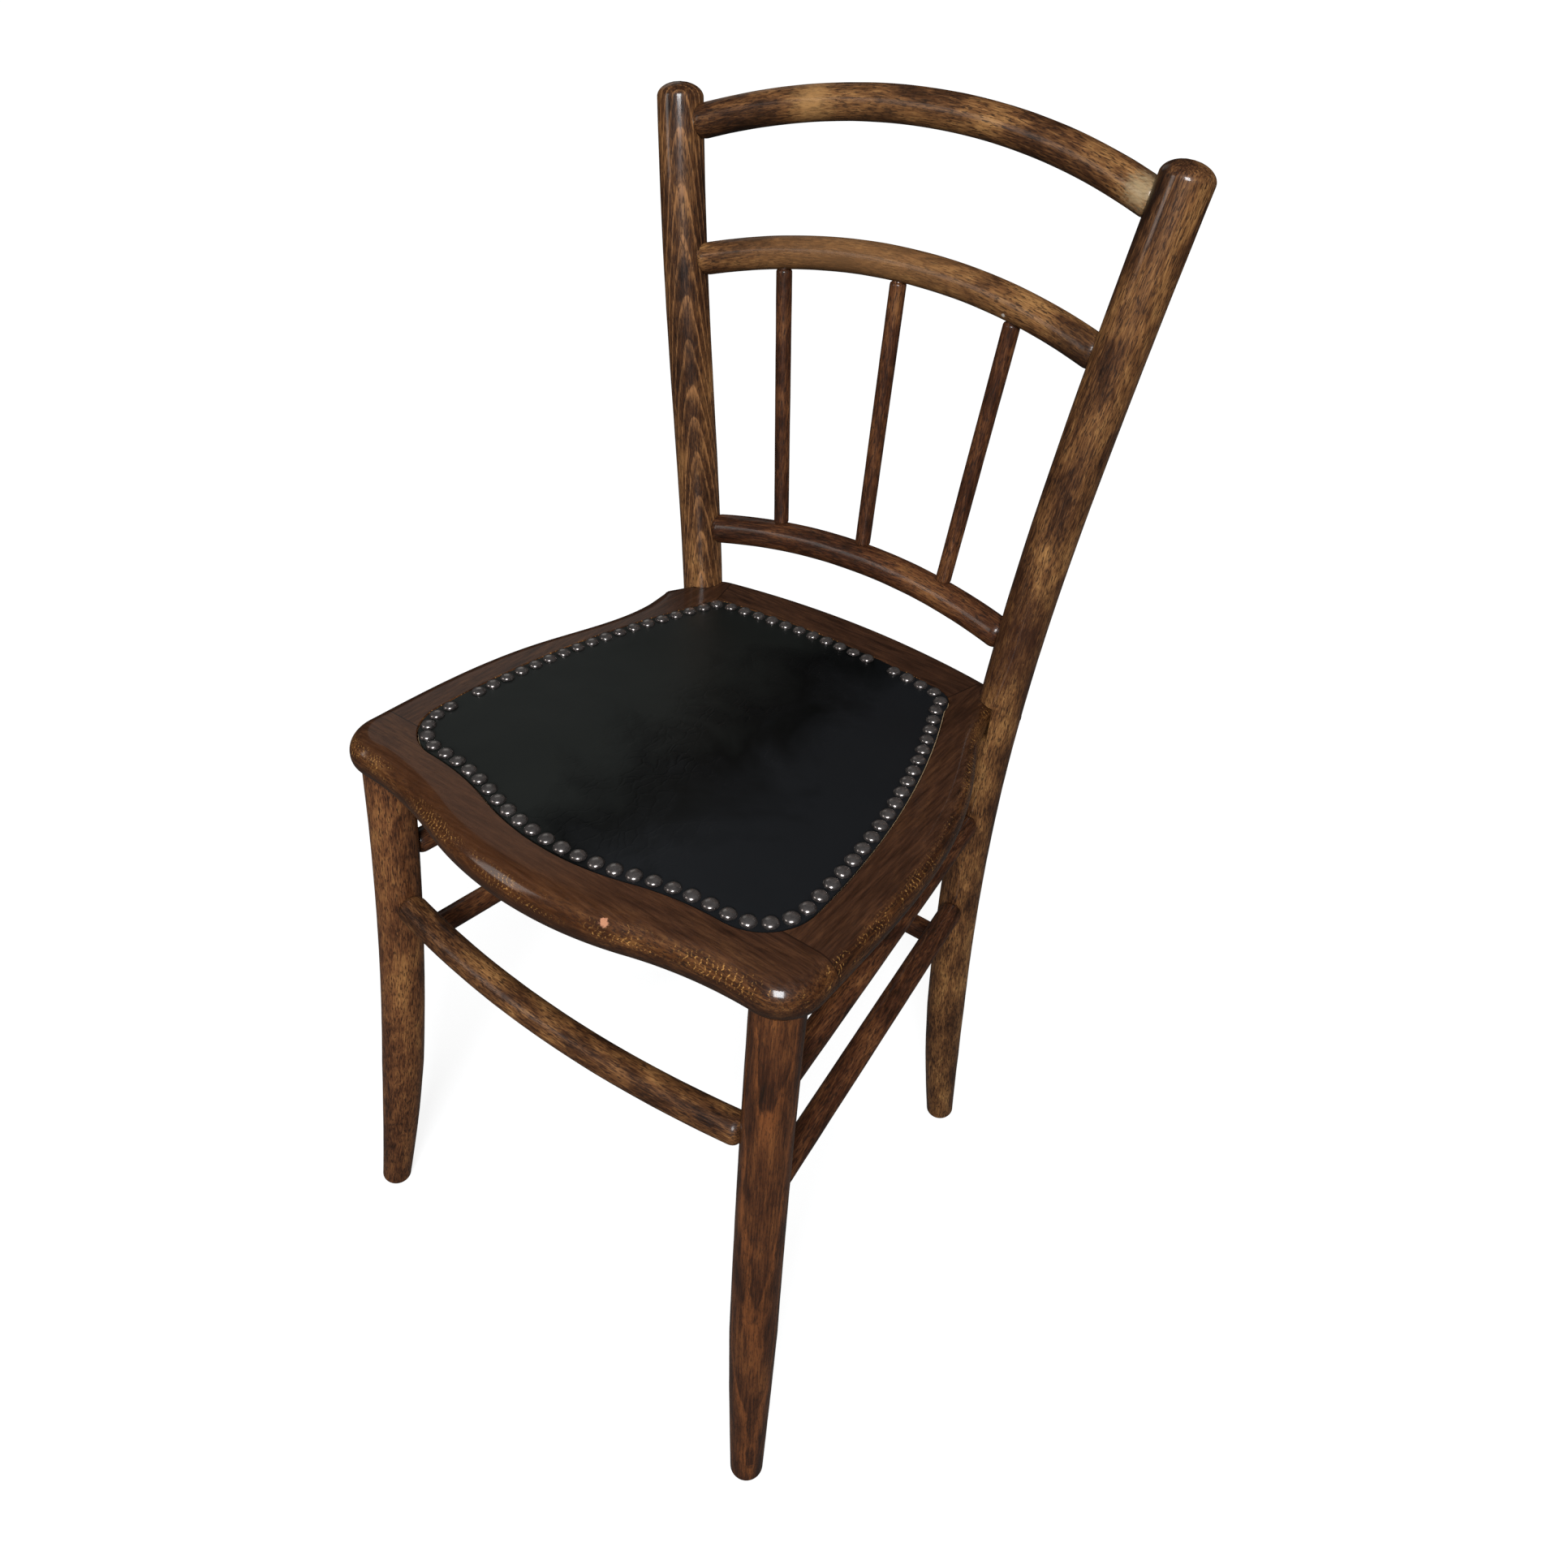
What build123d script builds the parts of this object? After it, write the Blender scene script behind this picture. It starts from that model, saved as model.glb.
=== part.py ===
"""Bistro chair of turned and bent beech with a leather seat panel held by domed nails.

Frame: +X to the right as seen from the front, +Y to the back, +Z up, millimetres.
The origin is on the floor below the middle of the chair. Left and right are as seen from the front.
"""
import os
from dataclasses import dataclass
from itertools import pairwise
from math import ceil, cos, radians, sin

from build123d import *

# Heights above the floor
seat_height = 470.0
shin_height = 235.0
front_knee_height = 219.0
side_upper_height = 366.0
side_lower_height = 276.0
front_stretcher_height = 328.0
rear_stretcher_height = 223.0

# Heights of the back, above the seat or below the tops of the posts
back_height = 344.5
back_bend_rise = 173.0
lower_rail_rise = 43.5
upper_rail_drop = 108.3
crest_drop = 26.5

# Bow of the bent rails between their ends and the middle plane: upwards and to the back
crest_arch = 29.0
crest_bow = 26.0
upper_rail_arch = 24.0
upper_rail_bow = 22.0
lower_rail_arch = 15.0
lower_rail_bow = 15.5
front_stretcher_sag = 2.0
front_stretcher_bow = 16.0

# Centre line of the right rear post: its place at the seat, and how far it stands out and back elsewhere
post_seat_x = 136.0
post_seat_y = 154.0
post_foot_out = 15.0
post_foot_back = 10.0
post_shin_out = -0.8
post_shin_back = -1.0
post_bend_out = 16.5
post_bend_back = 4.0
post_top_out = 38.0
post_top_back = 19.0

# Centre line of the right front leg: its place in from the seat's edge, and its splay
leg_top_in = 25.0
leg_top_back = 22.0
leg_knee_out = 11.0
leg_knee_front = 20.0
leg_foot_out = 33.0
leg_foot_front = 50.0

# Diameters
post_foot_diameter = 24.0
post_ankle_diameter = 26.5
post_calf_diameter = 30.0
post_shin_diameter = 32.0
post_seat_diameter = 31.5
post_back_diameter = 31.2
post_top_diameter = 30.8
leg_foot_diameter = 23.5
leg_ankle_diameter = 26.0
leg_calf_diameter = 29.5
leg_diameter = 32.5
crest_diameter = 21.0
upper_rail_diameter = 20.8
lower_rail_diameter = 22.0
spindle_diameter = 11.0
front_stretcher_diameter = 21.6
side_stretcher_diameter = 18.0
rear_stretcher_diameter = 18.0
rail_tenon_diameter = 15.0
stretcher_tenon_diameter = 13.0
spindle_tenon_diameter = 8.0
leg_tenon_diameter = 18.0

# Ends of the bars
ankle_height = 38.0
calf_height = 88.0
full_height = 150.0
foot_chamfer = 2.5
foot_chamfer_height = 4.0
dome_height = 9.0
tenon_length = 10.0
spindle_tenon_length = 7.0
leg_tenon_length = 20.0
shoulder_length = 6.0
spindle_shoulder_length = 2.0
shoulder_gap = 0.2
fit_clearance = 0.15

# Spindles: distance of the outer ones from the middle plane
spindle_top_x = 87.0
spindle_bottom_x = 69.5

# Seat frame outline: its rear is placed from the posts, with an ear on the left and a slimmer end on the right
seat_thickness = 27.5
seat_front_y = -193.0
seat_flank_x = 160.0
seat_flank_y = -168.0
seat_side_x = 187.0
seat_side_y = -140.0
seat_hip_y = 0.0
left_hip_in = 13.5
left_waist_out = 14.0
left_waist_front = 53.0
left_ear_out = 16.0
left_ear_front = 28.0
right_hip_in = 6.5
right_slope_out = 23.5
right_slope_front = 81.0
right_end_in = 1.5
right_end_front = 4.0
seat_back_in = 8.0
seat_back_behind = 16.5
seat_back_bow = 14.5
seat_top_round = 12.0
seat_under_round = 12.0

# Opening of the seat frame, right half: widths of the rails round it, and its rear corner from the post
front_rail_width = 33.0
flank_rail_width = 26.5
side_rail_width = 31.5
opening_corner_radius = 37.5
opening_rear_in = 25.0
opening_rear_front = 37.0
opening_bend_in = 30.0
opening_bend_front = 23.5
opening_corner_in = 42.0
opening_corner_front = 17.5
opening_back_bow = 7.5
ledge_width = 14.0
panel_clearance = 0.3

# Joints of the seat frame
front_joint_behind = 13.0
back_joint_in = 32.0
back_joint_front = 26.0
back_joint_turn = 15.0
back_joint_reach = 104.0
frame_joint_gap = 0.1
dowel_diameter = 7.0
dowel_front_depth = 8.0
dowel_depth = 14.0
dowel_back_depth = 10.0
dowel_inner_in = 30.0
dowel_outer_in = 15.0
dowel_first_step = 12.0
dowel_second_step = 28.0
dowel_drop = 18.0

# Notch of the rear post and its screw
notch_depth = 7.0
notch_turn = 35.0
screw_drop = 11.0
screw_diameter = 5.0
screw_head_diameter = 10.0
screw_head_height = 3.0
screw_rim = 0.6
screw_sink = 1.0
screw_bite = 18.0
screw_point = 4.0

# Seat board, felt pad, leather and nails
board_thickness = 6.0
leather_thickness = 2.0
pad_edge = 0.5
pad_crown = 2.2
pad_edge_share = 0.88
pad_slope_share = 0.7
pad_top_share = 0.42
pad_slope_rise = 1.5
nail_inset = 6.2
nail_pitch = 12.2
nail_head_diameter = 10.6
nail_head_height = 3.2
nail_shank_diameter = 1.8
nail_length = 12.0
nail_point = 2.5
nail_clearance = 0.1
missing_nails = ((-148.0, -88.0), (42.0, 137.0))

# Heights and places that follow from the sizes above
post_height = seat_height + back_height
back_bend_height = seat_height + back_bend_rise
lower_rail_height = seat_height + lower_rail_rise
upper_rail_height = post_height - upper_rail_drop
crest_height = post_height - crest_drop
seat_under = seat_height - seat_thickness
board_top = seat_height - leather_thickness
rebate_floor = board_top - board_thickness
dowel_height = seat_height - dowel_drop
screw_height = seat_height - screw_drop
front_joint_y = seat_side_y + front_joint_behind
notch_normal = Vector(-cos(radians(notch_turn)), -sin(radians(notch_turn)), 0)
notch_reach = post_seat_diameter / 2 - notch_depth
search_steps = 50
section_step = 60.0

os.makedirs("parts", exist_ok=True)


@dataclass
class Rod:
    """Round rod between two bars, on a centre line that runs from one bar's axis to the other's."""

    path: Edge
    diameter: float
    tenon_diameter: float
    first_reach: float
    last_reach: float
    tenon: float = tenon_length
    shoulder: float = shoulder_length

    def end(self, last: bool) -> tuple[float, Vector]:
        """Share of the path where the full diameter stops, and the direction out of that end."""
        reach = self.last_reach if last else self.first_reach
        share = (reach + shoulder_gap + self.shoulder) / self.path.length
        share = 1 - share if last else share
        return share, (self.path % share) * (1 if last else -1)


def where(path, direction, value):
    """Point of a line that runs steadily along a direction, at the given distance along it."""
    low, high = 0.0, 1.0
    for _ in range(search_steps):
        middle = (low + high) / 2
        if (path @ middle).dot(direction) < value:
            low = middle
        else:
            high = middle
    return path @ low


def at_height(path, height):
    """Point of a rising line at a height above the floor."""
    return where(path, Vector(0, 0, 1), height)


def flip(point):
    """The same point on the left half of the chair."""
    return Vector(-point.X, point.Y, point.Z)


def export(shape, name):
    """Names a finished piece and writes it."""
    shape.label = name
    export_step(shape, f"parts/{name}.step")


def rod_end(rod, last, gap=0.0, mode=Mode.ADD):
    """Rounded shoulder and tenon of one rod end; with a gap, the mortise that takes it."""
    share, outward = rod.end(last)
    start = rod.path @ share
    side = outward.cross(Vector(0, 0, 1) if abs(outward.Z) < 0.9 else Vector(0, 1, 0))
    full = rod.diameter / 2 + gap
    slim = rod.tenon_diameter / 2 + gap
    tip = rod.shoulder + rod.tenon + gap
    with BuildSketch(Plane(origin=start, x_dir=outward, z_dir=side), mode=Mode.PRIVATE) as profile:
        with BuildLine():
            Line((0, 0), (0, full))
            EllipticalCenterArc((0, slim), rod.shoulder, full - slim, arc_size=90)
            Polyline((rod.shoulder, slim), (tip, slim), (tip, 0), (0, 0))
        make_face()
    revolve(profile.sketch, axis=Axis(start, outward), mode=mode)


def make_rod(rod):
    """Whole rod: its bent or straight length with a tenon at each end."""
    first, _ = rod.end(False)
    last, _ = rod.end(True)
    with BuildPart() as body:
        with BuildSketch(Plane(origin=rod.path @ first, z_dir=rod.path % first)):
            Circle(rod.diameter / 2)
        sweep(path=rod.path.trim(first, last))
        rod_end(rod, False)
        rod_end(rod, True)
    return body.part


def level_section(path, height, diameter):
    """Round face across a rising line at a height."""
    with BuildSketch(Plane(origin=at_height(path, height)), mode=Mode.PRIVATE) as section:
        Circle(diameter / 2)
    return section.sketch.face()


def turned_bar(path, stations):
    """Bar of level round sections along a rising line, through stations of height and diameter."""
    sections = [level_section(path, *stations[0])]
    for (low, thin), (high, thick) in pairwise(stations):
        count = ceil((high - low) / section_step)
        for index in range(1, count + 1):
            share = index / count
            sections.append(level_section(path, low + (high - low) * share, thin + (thick - thin) * share))
    loft(sections)


def foot_tip(path, diameter):
    """Chamfered end of a leg, flat on the floor."""
    turned_bar(path, ((0, diameter - 2 * foot_chamfer), (foot_chamfer_height, diameter)))


def notch_plane(gap):
    """Upright plane of the joint between post and seat corner, facing the seat."""
    foot = Vector(post_seat_x, post_seat_y, seat_under) + notch_normal * (notch_reach + gap)
    return Plane(origin=foot, x_dir=(0, 0, 1), z_dir=notch_normal)


def bow_front(flank_x, flank_y, middle_y):
    """Front edge of a seat outline: bowed forward in the middle and level again at both flanks."""
    turn_x = flank_x / 2
    turn_y = (flank_y + middle_y) / 2
    for side in (-1, 1):
        TangentArc((side * flank_x, flank_y), (side * turn_x, turn_y), tangent=(-side, 0))
    ThreePointArc((-turn_x, turn_y), (0, middle_y), (turn_x, turn_y))


def opening_face(inset, height):
    """Face of the seat opening at a height, drawn in by an inset."""
    front_y = seat_front_y + front_rail_width
    flank = Vector(seat_side_x - side_rail_width - opening_corner_radius, seat_flank_y + flank_rail_width)
    side = flank + Vector(opening_corner_radius, opening_corner_radius)
    rear = Vector(post_seat_x - opening_rear_in, post_seat_y - opening_rear_front)
    bend = Vector(post_seat_x - opening_bend_in, post_seat_y - opening_bend_front)
    corner = Vector(post_seat_x - opening_corner_in, post_seat_y - opening_corner_front)
    with BuildSketch(Plane.XY.offset(height), mode=Mode.PRIVATE) as outline:
        with BuildLine():
            TangentArc(flank, side, tangent=(1, 0))
            TangentArc(side, rear, tangent=(0, 1))
            ThreePointArc(rear, bend, corner)
            mirror(about=Plane.YZ)
            bow_front(flank.X, flank.Y, front_y)
            ThreePointArc(corner, (0, corner.Y + opening_back_bow), flip(corner))
        make_face()
        if inset:
            offset(amount=-inset, kind=Kind.INTERSECTION)
    return outline.sketch.face()


def crown_section(share, height):
    """Face of the seat opening, shrunk to a share of its size, at a height."""
    with BuildSketch(Plane.XY.offset(height), mode=Mode.PRIVATE) as section:
        add(opening_face(panel_clearance, 0))
        scale(by=share)
    return section.sketch.face()


def crown_form(height):
    """Low crowned form over the seat opening, standing on a height."""
    edge = height + pad_edge
    extrude(crown_section(pad_edge_share, height), amount=pad_edge)
    loft([crown_section(pad_edge_share, edge), crown_section(pad_slope_share, edge + pad_slope_rise),
          crown_section(pad_top_share, edge + pad_crown)])


def nail_holes():
    """Bores for the shanks of the nails, from above the leather down past their points."""
    with Locations(*nail_points):
        Cylinder(nail_shank_diameter / 2 + nail_clearance, 2 * (nail_length + nail_clearance), mode=Mode.SUBTRACT)


def screw_form(gap=0.0, mode=Mode.ADD):
    """Countersunk screw through the right post into the seat corner; with a gap, its hole."""
    outer = post_seat_diameter / 2 - screw_sink
    start = Vector(post_seat_x, post_seat_y, screw_height) - notch_normal * outer
    length = outer + notch_reach + screw_bite
    head = screw_head_diameter / 2 + gap
    shank = screw_diameter / 2 + gap
    mouth = -2 * screw_sink if gap else 0.0
    with BuildSketch(Plane(origin=start, x_dir=notch_normal, z_dir=(0, 0, 1)), mode=Mode.PRIVATE) as profile:
        with BuildLine():
            Polyline((mouth, 0), (mouth, head), (screw_rim + gap, head), (screw_head_height + gap, shank),
                     (length - screw_point, shank), (length + gap, 0), (mouth, 0))
        make_face()
    revolve(profile.sketch, axis=Axis(start, notch_normal), mode=mode)


def dowel_form(centre, direction, before, after, gap=0.0, mode=Mode.ADD):
    """Dowel across a joint of the seat frame; with a gap, the holes that take it."""
    start = centre - direction * (before + gap)
    with BuildSketch(Plane(origin=start, z_dir=direction), mode=Mode.PRIVATE) as section:
        Circle(dowel_diameter / 2 + gap)
    extrude(section.sketch, amount=before + after + 2 * gap, mode=mode)


def frame_dowels(gap=0.0, mode=Mode.ADD):
    """The dowels of the right half of the seat frame."""
    for inward in (dowel_inner_in, dowel_outer_in):
        dowel_form(Vector(seat_side_x - inward, front_joint_y, dowel_height), Vector(0, 1, 0), dowel_front_depth, dowel_depth,
                   gap, mode)
    for step in (dowel_first_step, dowel_second_step):
        dowel_form(back_joint + back_joint_run * step, back_joint_out, dowel_back_depth, dowel_back_depth,
                   gap, mode)


def bent_path(end, arch, bow):
    """Arc from the left half to the right half of the chair, with its middle higher and further back."""
    with BuildLine() as line:
        ThreePointArc(flip(end), (0, end.Y + bow, end.Z + arch), end)
    return line.line.edge()


def straight_path(start, end):
    """Straight centre line between two points."""
    with BuildLine() as line:
        Line(start, end)
    return line.line.edge()


# Centre lines of the upright bars on the right
leg_top_x = seat_side_x - leg_top_in
leg_top_y = seat_flank_y + leg_top_back
with BuildLine() as post_line:
    Spline((post_seat_x + post_foot_out, post_seat_y + post_foot_back, 0),
           (post_seat_x + post_shin_out, post_seat_y + post_shin_back, shin_height),
           (post_seat_x, post_seat_y, seat_height),
           (post_seat_x + post_bend_out, post_seat_y + post_bend_back, back_bend_height),
           (post_seat_x + post_top_out, post_seat_y + post_top_back, post_height))
with BuildLine() as leg_line:
    Spline((leg_top_x + leg_foot_out, leg_top_y - leg_foot_front, 0),
           (leg_top_x + leg_knee_out, leg_top_y - leg_knee_front, front_knee_height),
           (leg_top_x, leg_top_y, seat_under))
post_axis = post_line.line.edge()
leg_axis = leg_line.line.edge()

# Bent rails of the back
rail_reach = post_top_diameter / 2
crest = Rod(bent_path(at_height(post_axis, crest_height), crest_arch, crest_bow), crest_diameter,
            rail_tenon_diameter, rail_reach, rail_reach)
upper_rail = Rod(bent_path(at_height(post_axis, upper_rail_height), upper_rail_arch, upper_rail_bow),
                 upper_rail_diameter, rail_tenon_diameter, rail_reach, rail_reach)
lower_rail = Rod(bent_path(at_height(post_axis, lower_rail_height), lower_rail_arch, lower_rail_bow),
                 lower_rail_diameter, rail_tenon_diameter, rail_reach, rail_reach)

# Spindles between the lower and the upper rail
spindles = {}
for place, share in (("left", -1), ("centre", 0), ("right", 1)):
    bottom = where(lower_rail.path, Vector(1, 0, 0), share * spindle_bottom_x)
    top = where(upper_rail.path, Vector(1, 0, 0), share * spindle_top_x)
    spindles[place] = Rod(straight_path(bottom, top), spindle_diameter, spindle_tenon_diameter,
                          lower_rail_diameter / 2, upper_rail_diameter / 2,
                          spindle_tenon_length, spindle_shoulder_length)

# Stretchers between the legs
leg_reach = leg_diameter / 2
post_reach = post_shin_diameter / 2
front_stretcher = Rod(bent_path(at_height(leg_axis, front_stretcher_height), -front_stretcher_sag,
                                -front_stretcher_bow), front_stretcher_diameter, stretcher_tenon_diameter, leg_reach, leg_reach)
rear_end = at_height(post_axis, rear_stretcher_height)
rear_stretcher = Rod(straight_path(flip(rear_end), rear_end), rear_stretcher_diameter,
                     stretcher_tenon_diameter, post_reach, post_reach)
side_stretchers = {
    place: Rod(straight_path(at_height(leg_axis, height), at_height(post_axis, height)), side_stretcher_diameter,
               stretcher_tenon_diameter, leg_reach, post_reach)
    for place, height in (("upper", side_upper_height), ("lower", side_lower_height))
}

# Joint between the side rail and the back rail of the seat, on the right
back_joint = Vector(post_seat_x - back_joint_in, post_seat_y - back_joint_front, dowel_height)
back_joint_run = Vector(sin(radians(back_joint_turn)), cos(radians(back_joint_turn)), 0)
back_joint_out = Vector(cos(radians(back_joint_turn)), -sin(radians(back_joint_turn)), 0)

# Places of the nails, one pitch apart round the opening, less the missing ones
nail_ring = opening_face(nail_inset, seat_height).outer_wire()
nail_count = round(nail_ring.length / nail_pitch)
nail_points = [nail_ring @ (index / nail_count) for index in range(nail_count)]
for lost_x, lost_y in missing_nails:
    nail_points.remove(min(nail_points, key=lambda point: (point - Vector(lost_x, lost_y, seat_height)).length))

# Rear posts, from the foot to the domed top
with BuildPart() as rear_post_right:
    turned_bar(post_axis, ((foot_chamfer_height, post_foot_diameter), (ankle_height, post_ankle_diameter),
                           (calf_height, post_calf_diameter), (full_height, post_shin_diameter),
                           (shin_height, post_shin_diameter), (seat_height, post_seat_diameter),
                           (back_bend_height, post_back_diameter), (post_height - dome_height, post_top_diameter)))
    foot_tip(post_axis, post_foot_diameter)
    dome_base = at_height(post_axis, post_height - dome_height)
    with BuildSketch(Plane(origin=dome_base, x_dir=(1, 0, 0), z_dir=(0, -1, 0))):
        with BuildLine():
            EllipticalCenterArc((0, 0), post_top_diameter / 2, dome_height, arc_size=90)
            Polyline((0, dome_height), (0, 0), (post_top_diameter / 2, 0))
        make_face()
    revolve(axis=Axis(dome_base, (0, 0, 1)))
    with BuildSketch(notch_plane(0)):
        with Locations((seat_thickness / 2, 0)):
            Rectangle(seat_thickness + 2 * fit_clearance, 2 * post_seat_diameter)
    extrude(amount=post_seat_diameter, mode=Mode.SUBTRACT)
    for rail in (crest, upper_rail, lower_rail, rear_stretcher, *side_stretchers.values()):
        rod_end(rail, True, fit_clearance, Mode.SUBTRACT)
    screw_form(fit_clearance, Mode.SUBTRACT)
with BuildPart() as rear_post_left:
    mirror(rear_post_right.part, about=Plane.YZ)
export(rear_post_right.part, "rear_post_right")
export(rear_post_left.part, "rear_post_left")

# Front legs, with a round tenon up into the seat frame
with BuildPart() as front_leg_right:
    turned_bar(leg_axis, ((foot_chamfer_height, leg_foot_diameter), (ankle_height, leg_ankle_diameter),
                          (calf_height, leg_calf_diameter), (full_height, leg_diameter),
                          (front_knee_height, leg_diameter), (seat_under, leg_diameter)))
    foot_tip(leg_axis, leg_foot_diameter)
    with BuildSketch(Plane(origin=(leg_top_x, leg_top_y, seat_under))):
        Circle(leg_tenon_diameter / 2)
    extrude(amount=leg_tenon_length)
    rod_end(front_stretcher, True, fit_clearance, Mode.SUBTRACT)
    for stretcher in side_stretchers.values():
        rod_end(stretcher, False, fit_clearance, Mode.SUBTRACT)
with BuildPart() as front_leg_left:
    mirror(front_leg_right.part, about=Plane.YZ)
export(front_leg_right.part, "front_leg_right")
export(front_leg_left.part, "front_leg_left")

# Back rails, bored for the spindles
export(make_rod(crest), "crest_rail")
for name, rod, upper in (("upper_back_rail", upper_rail, True), ("lower_back_rail", lower_rail, False)):
    whole_rail = make_rod(rod)
    with BuildPart() as bored_rail:
        add(whole_rail)
        for spindle in spindles.values():
            rod_end(spindle, upper, fit_clearance, Mode.SUBTRACT)
    export(bored_rail.part, name)
for place, spindle in spindles.items():
    export(make_rod(spindle), f"back_spindle_{place}")

# Stretchers
export(make_rod(front_stretcher), "front_stretcher")
export(make_rod(rear_stretcher), "rear_stretcher")
for place, stretcher in side_stretchers.items():
    right_stretcher = make_rod(stretcher)
    with BuildPart() as left_stretcher:
        mirror(right_stretcher, about=Plane.YZ)
    export(right_stretcher, f"side_stretcher_{place}_right")
    export(left_stretcher.part, f"side_stretcher_{place}_left")

# Wood cut from the right rear corner of the seat frame, where it stands in the post's notch
with BuildPart() as corner_cut:
    with BuildSketch(notch_plane(fit_clearance)):
        with Locations((seat_thickness / 2, 0)):
            Rectangle(2 * seat_thickness, 3 * post_seat_diameter)
    extrude(amount=-2 * post_seat_diameter)

# Holes of the right half of the seat frame for dowels, screw and leg tenon
with BuildPart() as frame_holes:
    frame_dowels(fit_clearance)
    screw_form(fit_clearance)
    with BuildSketch(Plane(origin=(leg_top_x, leg_top_y, seat_under))):
        Circle(leg_tenon_diameter / 2 + fit_clearance)
    extrude(amount=leg_tenon_length + fit_clearance)

# Seat frame in one ring, from which the four rails are cut
left_ear = Vector(-post_seat_x - left_ear_out, post_seat_y - left_ear_front)
right_end = Vector(post_seat_x - right_end_in, post_seat_y - right_end_front)
seat_back = Vector(post_seat_x - seat_back_in, post_seat_y + seat_back_behind)
with BuildPart() as seat_ring:
    with BuildSketch(Plane.XY.offset(seat_under)):
        with BuildLine():
            EllipticalCenterArc((seat_flank_x, seat_side_y), seat_side_x - seat_flank_x,
                                seat_side_y - seat_flank_y, 270, arc_size=90)
            mirror(about=Plane.YZ)
            Spline((seat_side_x, seat_side_y), (seat_side_x - right_hip_in, seat_hip_y),
                   (post_seat_x + right_slope_out, post_seat_y - right_slope_front), right_end,
                   tangents=((0, 1), (0, 1)))
            Line(right_end, seat_back)
            Spline((-seat_side_x, seat_side_y), (left_hip_in - seat_side_x, seat_hip_y),
                   (-post_seat_x - left_waist_out, post_seat_y - left_waist_front), left_ear,
                   tangents=((0, 1), (0, 1)))
            Line(left_ear, flip(seat_back))
            bow_front(seat_flank_x, seat_flank_y, seat_front_y)
            ThreePointArc(seat_back, (0, seat_back.Y + seat_back_bow), flip(seat_back))
        make_face()
    extrude(amount=seat_thickness)
    add(corner_cut.part, mode=Mode.SUBTRACT)
    mirror(corner_cut.part, about=Plane.YZ, mode=Mode.SUBTRACT)
    rim = faces().sort_by(Axis.Z)[-1].outer_wire().edges().filter_by(GeomType.LINE, reverse=True)
    fillet(rim, seat_top_round)
    rim = faces().sort_by(Axis.Z)[0].outer_wire().edges().filter_by(GeomType.LINE, reverse=True)
    fillet(rim, seat_under_round)
    extrude(opening_face(0, rebate_floor), amount=seat_thickness, mode=Mode.SUBTRACT)
    extrude(opening_face(ledge_width, seat_under), amount=seat_thickness, mode=Mode.SUBTRACT)
    add(frame_holes.part, mode=Mode.SUBTRACT)
    mirror(frame_holes.part, about=Plane.YZ, mode=Mode.SUBTRACT)
    nail_holes()

# Plan regions of the rails, between the lines of their joints
frame_reach = 2 * seat_side_x
half_gap = frame_joint_gap / 2
joint_inner = back_joint - back_joint_run * back_joint_reach
joint_outer = back_joint + back_joint_run * back_joint_reach
side_shift = back_joint_out * half_gap
side_edge = front_joint_y + half_gap
front_edge = front_joint_y - half_gap
side_region = [joint_inner + side_shift, joint_outer + side_shift, (frame_reach, joint_outer.Y),
               (frame_reach, side_edge), (joint_inner.X, side_edge)]
back_region = [flip(joint_inner - side_shift), joint_inner - side_shift, joint_outer - side_shift,
               flip(joint_outer - side_shift)]
front_region = [(-frame_reach, front_edge), (-frame_reach, 2 * seat_front_y), (frame_reach, 2 * seat_front_y),
                (frame_reach, front_edge)]


def frame_rail(region):
    """The part of the seat ring that lies over a plan region."""
    outline = [(Vector(point).X, Vector(point).Y) for point in region]
    with BuildPart() as rail:
        add(seat_ring.part)
        with BuildSketch(Plane.XY):
            with BuildLine():
                Polyline(*outline, close=True)
            make_face()
        extrude(amount=2 * seat_height, mode=Mode.INTERSECT)
    return rail.part


left_region = [(-Vector(point).X, Vector(point).Y) for point in side_region]
for name, region in (("seat_front_rail", front_region), ("seat_side_rail_right", side_region),
                     ("seat_side_rail_left", left_region), ("seat_back_rail", back_region)):
    export(frame_rail(region), name)

with BuildPart() as seat_frame_dowels:
    frame_dowels()
    mirror(about=Plane.YZ)
export(seat_frame_dowels.part, "seat_frame_dowels")

with BuildPart() as post_screws:
    screw_form()
    mirror(about=Plane.YZ)
export(post_screws.part, "post_screws")

# Seat panel: board in the rebate, felt pad, leather and nails
with BuildPart() as seat_board:
    extrude(opening_face(panel_clearance, rebate_floor), amount=board_thickness)
    nail_holes()
export(seat_board.part, "seat_board")

with BuildPart() as seat_pad:
    crown_form(board_top)
export(seat_pad.part, "seat_pad")

with BuildPart() as seat_leather:
    extrude(opening_face(panel_clearance, board_top), amount=leather_thickness)
    crown_form(board_top + leather_thickness)
    add(seat_pad.part, mode=Mode.SUBTRACT)
    nail_holes()
export(seat_leather.part, "seat_leather")

# One nail: a domed head on a thin pointed shank
head_radius = nail_head_diameter / 2
dome_radius = (head_radius ** 2 + nail_head_height ** 2) / (2 * nail_head_height)
with BuildPart() as nail:
    with BuildSketch(Plane.XZ):
        with BuildLine():
            RadiusArc((head_radius, 0), (0, nail_head_height), -dome_radius)
            Polyline((0, nail_head_height), (0, -nail_length), (nail_shank_diameter / 2, nail_point - nail_length),
                     (nail_shank_diameter / 2, 0), (head_radius, 0))
        make_face()
    revolve(axis=Axis.Z)

with BuildPart() as upholstery_nails:
    with Locations(*nail_points):
        add(nail.part)
export(upholstery_nails.part, "upholstery_nails")
print("nails", len(nail_points))
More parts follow.
